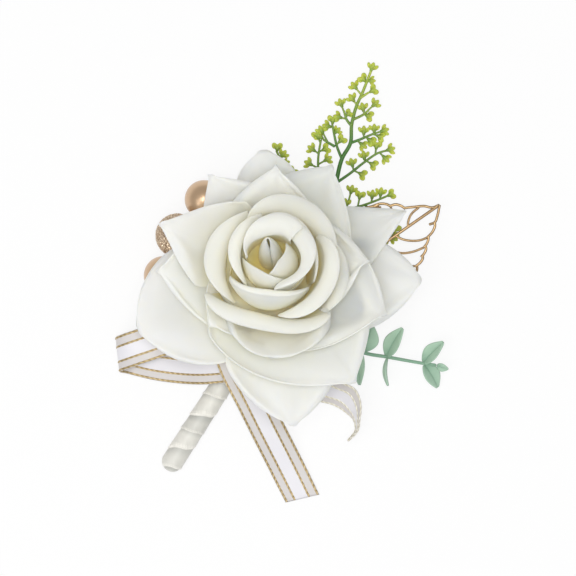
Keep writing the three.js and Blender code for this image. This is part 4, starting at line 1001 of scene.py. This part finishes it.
for name, (centre, radius, turn, bends) in balls.items():
    berry = name == "glitter_berry"
    skin = Grid(ball(radius, berry_grain if berry else 0) + np.array(centre), closed=True)
    add_piece(f"{name}_fine", [skin], glitter if berry else pearl, "glitter" if berry else "pearl", name)
    last = np.array(bends[-1], float)
    reach = np.linalg.norm(centre - last) - radius - clearance
    tip = last + unit(np.array(centre) - last) * reach
    add_rod(f"{name}_wire", [*bundled(turn), *bends, tip], wire_radius, wire_sides, gold, "gold_metal")

# Metal leaf
leaf_length = 49
leaf_half_width = 12.5
leaf_strip = 0.75
leaf_sheet = 0.5
leaf_arch = 1.6
leaf_place = np.array([10.1, 4.8, 4.6])
leaf_angle = 34.8 * degree
leaf_midrib = 0.85
leaf_vein = 0.68
leaf_wire_radius = 0.45
leaf_wire_bend = np.array([-5, -0.4, -0.6])
# Places are shares of the length along the midrib and of the half width across it. Each lobe of the edge ends
# in a notch, where the next one starts.
leaf_midrib_shares = [(0, 0), (0.5, 0), (0.977, 0)]
leaf_shoulder_shares = [(0.54, 0.86), (0.62, 0.79), (0.69, 0.66)]
leaf_lobe_shares = [
    [(0, 0), (0.06, 0.3), (0.16, 0.62), (0.3, 0.88), (0.45, 0.97), (0.59, 0.92), (0.65, 0.84), (0.69, 0.76)],
    [(0.65, 0.84), (0.7, 0.78), (0.73, 0.68), (0.742, 0.57)],
    [(0.735, 0.62), (0.77, 0.57), (0.79, 0.48), (0.802, 0.36)],
    [(0.795, 0.4), (0.825, 0.34), (0.852, 0.28), (0.897, 0.18), (0.934, 0.04), (0.977, 0)],
    [(0.977, 0), (0.961, -0.06), (0.943, -0.13), (0.925, -0.19), (0.898, -0.26), (0.86, -0.23)],
    [(0.898, -0.24), (0.885, -0.33), (0.868, -0.38), (0.845, -0.42), (0.806, -0.45)],
    [(0.82, -0.44), (0.808, -0.5), (0.79, -0.55), (0.76, -0.59)],
    [(0.775, -0.56), (0.768, -0.64), (0.745, -0.7), (0.716, -0.73)],
    [(0.73, -0.7), (0.722, -0.77), (0.695, -0.82), (0.656, -0.83)],
    [(0.67, -0.82), (0.66, -0.9), (0.6, -1), (0.45, -1.02), (0.3, -0.9), (0.16, -0.62), (0.06, -0.3),
     (0, 0)],
]
leaf_vein_shares = [
    [(0.754, 0), (0.775, 0.1), (0.812, 0.19), (0.872, 0.22)],
    [(0.63, 0), (0.655, 0.25), (0.69, 0.45), (0.742, 0.57)],
    [(0.5, 0), (0.53, 0.4), (0.58, 0.66), (0.66, 0.8)],
    [(0.36, 0), (0.39, 0.45), (0.44, 0.75), (0.52, 0.94)],
    [(0.22, 0), (0.25, 0.4), (0.3, 0.7), (0.38, 0.92)],
    [(0.664, 0), (0.69, -0.17), (0.724, -0.3), (0.765, -0.4), (0.81, -0.45)],
    [(0.55, 0), (0.6, -0.25), (0.643, -0.42), (0.7, -0.53), (0.765, -0.59)],
    [(0.545, 0), (0.585, -0.31), (0.602, -0.49), (0.628, -0.73), (0.66, -0.82)],
    [(0.4, 0), (0.43, -0.4), (0.47, -0.75), (0.53, -1)],
    [(0.25, 0), (0.28, -0.4), (0.33, -0.72), (0.38, -0.96)],
]


def on_leaf(x, y):
    """Leaf places, arched across and along, turned and set in place."""
    along = np.sin(np.pi * np.minimum(x, leaf_length) / leaf_length)
    arch = leaf_arch * (1 - (y / leaf_half_width) ** 2) * along
    c, s = np.cos(leaf_angle), np.sin(leaf_angle)
    return np.stack([c * x - s * y, s * x + c * y, arch + leaf_sheet / 2], -1) + leaf_place


def leaf_strips(lines, width):
    """Flat strips of one width along smooth lines."""
    strips = []
    for shares in lines:
        places = [(along * leaf_length, across * leaf_half_width, 0) for along, across in shares]
        line = run(places, 60)
        strips.append(tube(on_leaf(line[:, 0], line[:, 1]), width / 2, 10, flat=leaf_sheet / width))
    return strips


# A hollow leaf of flat strips: the midrib, the lobes of the edge, and veins that bend towards the tip
metal_leaf = [
    *leaf_strips([leaf_midrib_shares], leaf_midrib),
    *leaf_strips(leaf_lobe_shares, leaf_strip),
    *leaf_strips(leaf_vein_shares, leaf_vein),
    *leaf_strips([leaf_shoulder_shares], 2 * leaf_midrib),
]
add_piece("metal_leaf_fine", metal_leaf, gold, "gold_metal", "metal_leaf")
leaf_foot = leaf_place + np.array([-clearance - leaf_strip / 2, 0, leaf_sheet / 2])
leaf_wire_points = [*bundled(120), leaf_foot + leaf_wire_bend, leaf_foot]
add_rod("metal_leaf_wire", leaf_wire_points, leaf_wire_radius, wire_sides, gold, "gold_metal")

# Fern sprig. Places are shares of the blade's length from its foot. Each twig has its line, then its
# leaflets, some with a size of their own.
fern_blade = 34.4
fern_foot = np.array([20.2, 38.2, 0.9])
fern_stem_radius = 0.55
fern_stem_tip_radius = 0.36
fern_twig_radius = 0.35
fern_twig_tip_radius = 0.3
fern_stalk_radius = 0.27
leaflet_size = 2.4
leaflet_thickness = 0.75
leaflet_spread = 52 * degree
fern_route_shares = [[0.35, 0.36], [0.72, 0.7]]
fern_stem_shares = [
    [0, 0], [0.05, 0.2], [0.12, 0.33], [0.13, 0.48], [0.17, 0.635], [0.215, 0.735], [0.275, 0.885],
    [0.3, 0.95],
]
fern_twig_shares = [
    ([[0, 0], [0.115, 0.08], [0.23, 0.17], [0.34, 0.245], [0.42, 0.27]],
     [[0.22, 0.07], [0.13, 0.17], [0.23, 0.23], [0.335, 0.315], [0.45, 0.28], [0.41, 0.2], [0.31, 0.15]]),
    ([[0.12, 0.33], [0.2, 0.36], [0.27, 0.39], [0.33, 0.415]],
     [[0.225, 0.31], [0.23, 0.435], [0.29, 0.345], [0.315, 0.45], [0.4, 0.435], [0.37, 0.38]]),
    ([[0.135, 0.52], [0.22, 0.56], [0.27, 0.6]], [[0.22, 0.625], [0.275, 0.55], [0.325, 0.655]]),
    ([[0.2, 0.7], [0.27, 0.745]], [[0.31, 0.765]]),
    ([[0.17, 0.635], [0.215, 0.735], [0.275, 0.885]],
     [[0.15, 0.8], [0.13, 0.7], [0.22, 0.86], [0.3, 0.955], [0.29, 0.84]]),
    ([[0.13, 0.47], [0.09, 0.52], [0.065, 0.6]], [[0.04, 0.66], [0.105, 0.57], [0.015, 0.545]]),
    ([[0.05, 0.2], [0.01, 0.3], [-0.015, 0.41], [-0.03, 0.49]],
     [[-0.025, 0.525], [-0.075, 0.47], [0.01, 0.43], [0.05, 0.36]]),
    ([[-0.005, 0.3], [-0.065, 0.335], [-0.105, 0.36]], [[-0.135, 0.39], [-0.12, 0.44]]),
    ([[-0.05, -0.2], [-0.13, 0.0], [-0.145, 0.18], [-0.135, 0.28], [-0.12, 0.36]],
     [[-0.2, 0.285], [-0.08, 0.285], [-0.225, 0.165], [-0.065, 0.2], [-0.155, 0.4]]),
    ([[-0.1, -0.33], [-0.3, -0.1], [-0.42, 0.12], [-0.455, 0.2], [-0.49, 0.27]],
     [[-0.48, 0.3], [-0.43, 0.24], [-0.41, 0.165], [-0.35, 0.1]]),
    ([[-0.1, -0.33], [0.1, -0.22], [0.24, -0.175], [0.36, -0.13], [0.43, -0.1]],
     [[0.13, -0.05], [0.08, -0.16], [0.2, -0.095], [0.3, -0.09], [0.37, -0.07], [0.455, -0.09]]),
    ([[0.24, -0.175], [0.33, -0.3], [0.4, -0.39], [0.43, -0.44]],
     [[0.475, -0.37, 1.7], [0.4, -0.46], [0.475, -0.45]]),
]


def leaflet(root, direction, length, lobes, tone):
    """A flat fan that opens from its stalk into two or three round lobes.

    The fan's reach swells and draws in with the cosine of the direction, once for each lobe."""
    across, along = np.meshgrid(np.linspace(-1, 1, 31), np.linspace(0.1, 1, 13))
    spread = leaflet_spread * across * along**0.5
    lobe = np.abs(np.cos(np.pi * (across * lobes / 2 + (lobes - 1) / 2))) ** 0.7
    reach = length * along * (0.66 + 0.4 * lobe - 0.08 * np.abs(across) ** 3)
    side = np.array([-direction[1], direction[0], 0])
    cupped = 0.12 * length * np.sin(np.pi * along) * np.cos(np.pi * across)
    forward, sideways = reach * np.cos(spread), reach * np.sin(spread)
    middle = root + forward[..., None] * direction + sideways[..., None] * side
    middle = middle + cupped[..., None] * np.array([0, 0, 1])
    thickness = leaflet_thickness * rounded(across, 6) * rounded(along, 8)
    tones = mix(0.6 * tone, 1, smooth(0.2, 0.95, along))
    return shell(middle, thickness, (across + 1) / 2, along, tones)


def add_fern():
    """Tapering stems that end in flat leaflets, dark green at the foot and yellow-green at the tips."""
    def at(pairs):
        pairs = np.asarray(pairs, float) * fern_blade
        return np.concatenate([pairs, np.zeros((len(pairs), 1))], axis=1) + fern_foot

    route = [fern_foot * [x, y, 1] for x, y in fern_route_shares]
    grids = [tube(run([*bundled(240), *route, fern_foot], 60), fern_stem_radius, 12, tone=[0, 0])]
    stem_radii = np.linspace(fern_stem_radius * 1.15, fern_stem_tip_radius, 60)
    grids.append(tube(run(at(fern_stem_shares), 60), stem_radii, 12, tone=[0, 0, 0.05, 0.3, 0.6, 0.85]))
    twig_radii = np.linspace(fern_twig_radius * 1.2, fern_twig_tip_radius, 40)
    for turn, (line, leaves) in enumerate(fern_twig_shares):
        twig = run(at(line), 40)
        start = 0.65 * smooth(0.35, 0.75, line[0][1])
        grids.append(tube(twig, twig_radii, 10, tone=[start, start + 0.1, start + 0.35]))
        shade = mix(start + 0.1, 0.75, 0.5)
        for number, leaf in enumerate(leaves):
            end = at([leaf[:2]])[0]
            size = leaflet_size * (leaf[2] if len(leaf) > 2 else 1)
            far = np.linalg.norm(twig - end, axis=1)
            best = int(far.argmin())
            root = twig[max(best - int(0.6 * far[best] / np.linalg.norm(twig[1] - twig[0])), 0)]
            direction = unit(end - root)
            distance = np.linalg.norm(end - root)
            stalk = max(distance - 0.6 * size, 0.1)
            foot = root + direction * stalk
            stalk_line = np.linspace(root, foot + direction * 0.5, 8)
            grids.append(tube(stalk_line, fern_stalk_radius, 8, tone=[start + 0.1, shade]))
            lobes = 3 if (turn + number) % 3 else 2
            grids.append(leaflet(foot, direction, distance - stalk + 0.5 * size, lobes, shade))
    add_piece("fern_sprig_fine", grids, fern_green, "fern", "fern_sprig")


add_fern()

# Eucalyptus sprig. The stem's places are shares of where it ends. Each leaf has its base, its tip, its half
# width and its roll.
eucalyptus_reach = np.array([48.6, 13.1, 3])
eucalyptus_route_shares = [
    [0.1, 0.25, 0.8], [0.33, -0.28, 0.8], [0.57, -0.72, 1], [0.713, -0.82, 1], [0.924, -0.96, 1], [1, -1, 1],
]
eucalyptus_radii = np.linspace(0.62, 0.45, 120)
eucalyptus_thickness = 0.5
eucalyptus_fold_share = 0.25
eucalyptus_rib_share = 0.04
eucalyptus_arch_share = 0.06
eucalyptus_leaves = {
    "eucalyptus_leaf_1_upper": ([27.8, -9.2, 3.1], [30.2, -1.6, 6], 3.2, 25),
    "eucalyptus_leaf_1_lower": ([27, -8.6, 3.2], [26.9, -18.7, 1.9], 1.9, 20),
    "eucalyptus_leaf_2_upper": ([34.5, -10.5, 3.1], [39.0, -2.6, 6], 2.7, -30),
    "eucalyptus_leaf_2_lower": ([34.7, -11, 3], [34.9, -18.9, 4], 2.4, 82),
    "eucalyptus_leaf_3_upper": ([44.9, -12.4, 3.1], [50.5, -6.5, 5.4], 2.5, -30),
    "eucalyptus_leaf_3_lower": ([45.1, -12.9, 2.9], [48.9, -19.4, 1.6], 2.7, -30),
    "eucalyptus_tip_bud": ([48.7, -13, 3], [51.9, -14.2, 3.4], 1.3, 30),
}


def oval_leaf(base, tip, half_width, roll):
    """A leaf as wide as a skewed half sine wave, folded along its midrib and arched from base to tip."""
    u, v = np.meshgrid(np.linspace(-1, 1, 29), np.linspace(0, 1, 37))
    base, tip = np.array(base, float), np.array(tip, float)
    forward = unit(tip - base)
    length = np.linalg.norm(tip - base)
    side = unit(np.cross([0, 0, 1], forward))
    side = side * np.cos(roll * degree) + np.cross(forward, side) * np.sin(roll * degree)
    face = np.cross(forward, side)
    half = half_width * (0.10 + 0.90 * np.sin(np.pi * (0.04 + 0.92 * v) ** 0.85))
    rib = eucalyptus_rib_share * half_width * hill(u, 0, 0.10)
    arch = eucalyptus_arch_share * length * np.sin(np.pi * v)
    height = eucalyptus_fold_share * half * np.abs(u) ** 1.3 + arch - rib
    middle = base + (v * length)[..., None] * forward + (u * half)[..., None] * side
    middle = middle + height[..., None] * face
    thickness = eucalyptus_thickness * rounded(u, 8) * rounded(v * 2 - 1, 20)
    tone = 0.75 + 0.25 * np.abs(u) - 0.35 * hill(u, 0, 0.12) - 0.35 * (1 - smooth(0, 0.4, v))
    return shell(middle, thickness, (u + 1) / 2, v, tone)


eucalyptus_route = [np.array(shares) * eucalyptus_reach for shares in eucalyptus_route_shares]
add_rod(
    "eucalyptus_stem", [*bundled(180), *eucalyptus_route], eucalyptus_radii, 12, bloom_green, "eucalyptus",
    count=len(eucalyptus_radii), tone=[0.1, 0.45],
)
for name, leaf in eucalyptus_leaves.items():
    add_piece(f"{name}_fine", [oval_leaf(*leaf)], bloom_green, "eucalyptus", name)

# Ribbon. Each row is a place on the middle line, as shares of the ribbon's span, then the direction of the
# ribbon's width there.
ribbon_span = 50
ribbon_width = 9.8
ribbon_thickness = 0.22
grey_edge = 0.02
thread_pitch = 1.5
thread_rings = 12
thread_sides = 10
thread_half = 0.33
thread_swell_share = 0.18
thread_flat_share = 0.75
loop_rows = [
    [-0.2, -0.262, 0.134, 0.1, 1, 0], [-0.34, -0.272, 0.096, 0, 1, 0], [-0.47, -0.268, 0.05, 0, 1, 0],
    [-0.638, -0.246, 0.03, -0.05, 1, 0], [-0.778, -0.212, 0.032, -0.05, 1, 0],
    [-0.824, -0.202, 0.09, -0.1, 1, 0], [-0.778, -0.182, 0.148, -0.25, 0.97, 0],
    [-0.638, -0.134, 0.172, -0.351, 0.936, 0], [-0.47, -0.072, 0.174, -0.351, 0.936, 0],
    [-0.3, -0.01, 0.158, -0.351, 0.936, 0], [-0.15, 0.04, 0.138, -0.351, 0.936, 0],
    [-0.02, 0.075, 0.13, -0.351, 0.936, 0],
]
long_tail_rows = [
    [-0.185, -0.2, 0.154, 0.888, 0.46, 0], [-0.148, -0.29, 0.152, 0.888, 0.46, 0],
    [-0.07, -0.44, 0.138, 0.888, 0.46, 0], [0.024, -0.63, 0.088, 0.888, 0.46, 0],
    [0.12, -0.82, 0.036, 0.888, 0.46, 0], [0.216, -1.014, 0.012, 0.97, 0.22, 0],
]
curled_tail_rows = [
    [-0.04, -0.26, 0.088, 0.4, 0.9, 0], [0.1, -0.31, 0.1, 0.35, 0.93, 0.1],
    [0.24, -0.356, 0.108, 0.4, 0.85, 0.3], [0.37, -0.408, 0.112, 0.6, 0.6, 0.5],
    [0.454, -0.442, 0.112, 0.62, 0.5, 0.6], [0.5, -0.5, 0.112, 0.48, 0.26, 0.84],
    [0.52, -0.566, 0.112, 0.17, 0, 0.985], [0.52, -0.628, 0.112, 0.06, 0, 1], [0.47, -0.688, 0.112, 0, 0, 1],
]


def ribbon_frame(rows, count):
    """Places along a smooth line, and at each the direction of the ribbon's width, turned smoothly."""
    rows = np.array(rows, float)
    given = rows[:, :3] * ribbon_span
    far = far_along(given)
    across = unit(read_off(np.linspace(0, far[-1], count), far, unit(rows[:, 3:])))
    soft = 9
    padded_rows = np.pad(across, ((soft // 2, soft // 2), (0, 0)), mode="edge")
    evened = [np.convolve(padded_rows[:, axis], np.ones(soft) / soft, "valid") for axis in range(3)]
    return run(given, count), unit(np.stack(evened, -1))


def ribbon_band(centres, across):
    """The ribbon itself, a little greyer between the outer pairs of stripes."""
    u, v = np.meshgrid(np.linspace(-1, 1, 61), np.linspace(0, 1, len(centres)))
    middle = centres[:, None] + (u * ribbon_width / 2)[..., None] * across[:, None]
    thickness = ribbon_thickness * rounded(u, 20) * rounded(v * 2 - 1, 60)
    share = (u + 1) / 2
    left, right = stripe_places[1:3]
    after_left = smooth(left - grey_edge, left + grey_edge, share)
    after_right = smooth(right - grey_edge, right + grey_edge, share)
    return shell(middle, thickness, share, v, 1 - after_left * (1 - after_right))


def thread(centres, across, place, length):
    """Two plies of thread twisted together along a stripe.

    The section is an oval whose radius swells twice round, and the swell turns once for each two pitches."""
    stops = np.linspace(0, 1, int(length / thread_pitch * thread_rings))
    given = np.linspace(0, 1, len(centres))
    line = read_off(stops, given, centres + (place - 0.5) * ribbon_width * across)
    side = unit(read_off(stops, given, across))
    face = unit(np.cross(np.gradient(line, axis=0), side))
    swell = np.cos(2 * full_turn(thread_sides) - 2 * np.pi * stops[:, None] * length / thread_pitch)
    radius = thread_half * (1 + thread_swell_share * swell) * rounded(stops * 2 - 1, 200)[:, None]
    points = line[:, None] + radius[..., None] * section(side, face, thread_sides, thread_flat_share)
    # Painted shade and highlight: the tone is darker in the grooves between the plies and lighter on their
    # crests.
    return Grid(points, closed=True, tone=0.5 + 0.5 * swell)


def add_ribbon(name, rows, count, cloth=striped, stripe=gold_thread):
    centres, across = ribbon_frame(rows, count)
    piece = add_piece(f"{name}_fine", [ribbon_band(centres, across)], cloth, "ribbon", name)
    length = far_along(centres)[-1]
    woven = [thread(centres, across, place, length) for place in stripe_places]
    threads = add_piece(f"{name}_threads", woven, stripe, "ribbon")


add_ribbon("ribbon_loop", loop_rows, 241)
add_ribbon("ribbon_tail_long", long_tail_rows, 121)
add_ribbon("ribbon_tail_curled", curled_tail_rows, 161, striped_back, pale_thread)


def add_knot():
    """The ribbon's turn round the handle: a band that bulges between its edges, with low pleats, flat where
    it lies on the table."""
    angle = full_turn(72)
    inner = handle_radius + tape_step / 2 + clearance
    outer = inner + knot_thickness
    part = np.linspace(-1, 1, 31)
    distance = np.concatenate([part, part[::-1]]) * knot_length / 2 + knot_place
    pleats = knot_pleat * np.sin(14 * part) * (1 - part**2)
    bulge = knot_thickness / 2 * (1 - np.abs(part) ** 3)
    around = np.concatenate([outer + bulge + pleats, np.full(len(part), inner)])[:, None]
    points = in_handle(distance[:, None] + 0 * angle, around * np.cos(angle), around * np.sin(angle))
    floor = np.repeat([0, knot_thickness], len(part))[:, None]
    points[..., 2] = np.maximum(points[..., 2], floor)
    ring = np.swapaxes(points, 0, 1)
    ring = np.concatenate([ring, ring[:1]])
    share = (part + 1) / 2
    corner_u = np.concatenate([share, share[::-1], [0]])
    band = Grid(ring, closed=True, u=corner_u[None, :])
    add_piece("ribbon_knot_fine", [band], striped, "ribbon", "ribbon_knot")


add_knot()

# Floor, light and camera. The picture has its scale (mm for each pixel) at this height above the table.
pixel = 0.28
picture = 576
picture_height = 15
view_middle = np.array([6.72, 8.68])
camera_height = 2000
camera_range = 20
sensor = 36
floor_span = 3.0
floor_colour = (0.93, 0.93, 0.93, 1)
floor_glow = 0.85
world_strength = 0.43
lamp_aim = (5, 10, 15)
lamps = {
    "key": ((-300, -270, 760), 600, 2.4),
    "fill": ((240, -420, 700), 600, 0.3),
    "top": ((30, 60, 1500), 500, 7.5),
}


def add_floor():
    """A white sheet that takes shadows. To the camera and in reflections it glows nearly white."""
    mesh = bpy.data.meshes.new("floor")
    corners = [(-1, -1), (1, -1), (1, 1), (-1, 1)]
    mesh.from_pydata([(x * floor_span, y * floor_span, 0) for x, y in corners], [], [(0, 1, 2, 3)])
    floor = put_in_scene("floor", mesh)
    material, tree = new_material("white floor")
    paper = add(tree, "ShaderNodeBsdfDiffuse", Color=floor_colour)
    glow = add(tree, "ShaderNodeEmission", Color=white)
    path = add(tree, "ShaderNodeLightPath")
    seen = add(tree, "ShaderNodeMath", operation="MAXIMUM")
    mirrored = add(tree, "ShaderNodeMath", operation="MAXIMUM")
    share = add(tree, "ShaderNodeMath", {1: floor_glow}, operation="MULTIPLY")
    blend = add(tree, "ShaderNodeMixShader")
    out = add(tree, "ShaderNodeOutputMaterial")
    join(
        tree,
        (path, "Is Camera Ray", seen, 0),
        (path, "Is Glossy Ray", seen, 1),
        (seen, 0, mirrored, 0),
        (path, "Is Transmission Ray", mirrored, 1),
        (mirrored, 0, share, 0),
        (share, 0, blend, "Fac"),
        (paper, 0, blend, 1),
        (glow, 0, blend, 2),
        (blend, 0, out, "Surface"),
    )
    mesh.materials.append(material)


def add_lamp(name, place, size, power):
    lamp = bpy.data.lights.new(name, "AREA")
    lamp.size = size * MM
    lamp.energy = power
    lamp_object = put_in_scene(name, lamp)
    lamp_object.location = Vector(place) * MM
    direction = Vector(lamp_aim) - Vector(place)
    lamp_object.rotation_euler = direction.to_track_quat("-Z", "Y").to_euler()


add_floor()
for name, lamp in lamps.items():
    add_lamp(name, *lamp)

world = bpy.data.worlds.new("studio")
bpy.context.scene.world = world
world.use_nodes = True
background = world.node_tree.nodes["Background"]
background.inputs["Color"].default_value = white
background.inputs["Strength"].default_value = world_strength

camera = bpy.data.cameras.new("camera")
camera.sensor_width = sensor
camera.lens = sensor * (camera_height - picture_height) / (picture * pixel)
camera.clip_end = camera_range
camera_object = put_in_scene("camera", camera)
camera_object.location = (view_middle[0] * MM, view_middle[1] * MM, camera_height * MM)
bpy.context.scene.camera = camera_object
bpy.context.scene.view_settings.view_transform = "Standard"
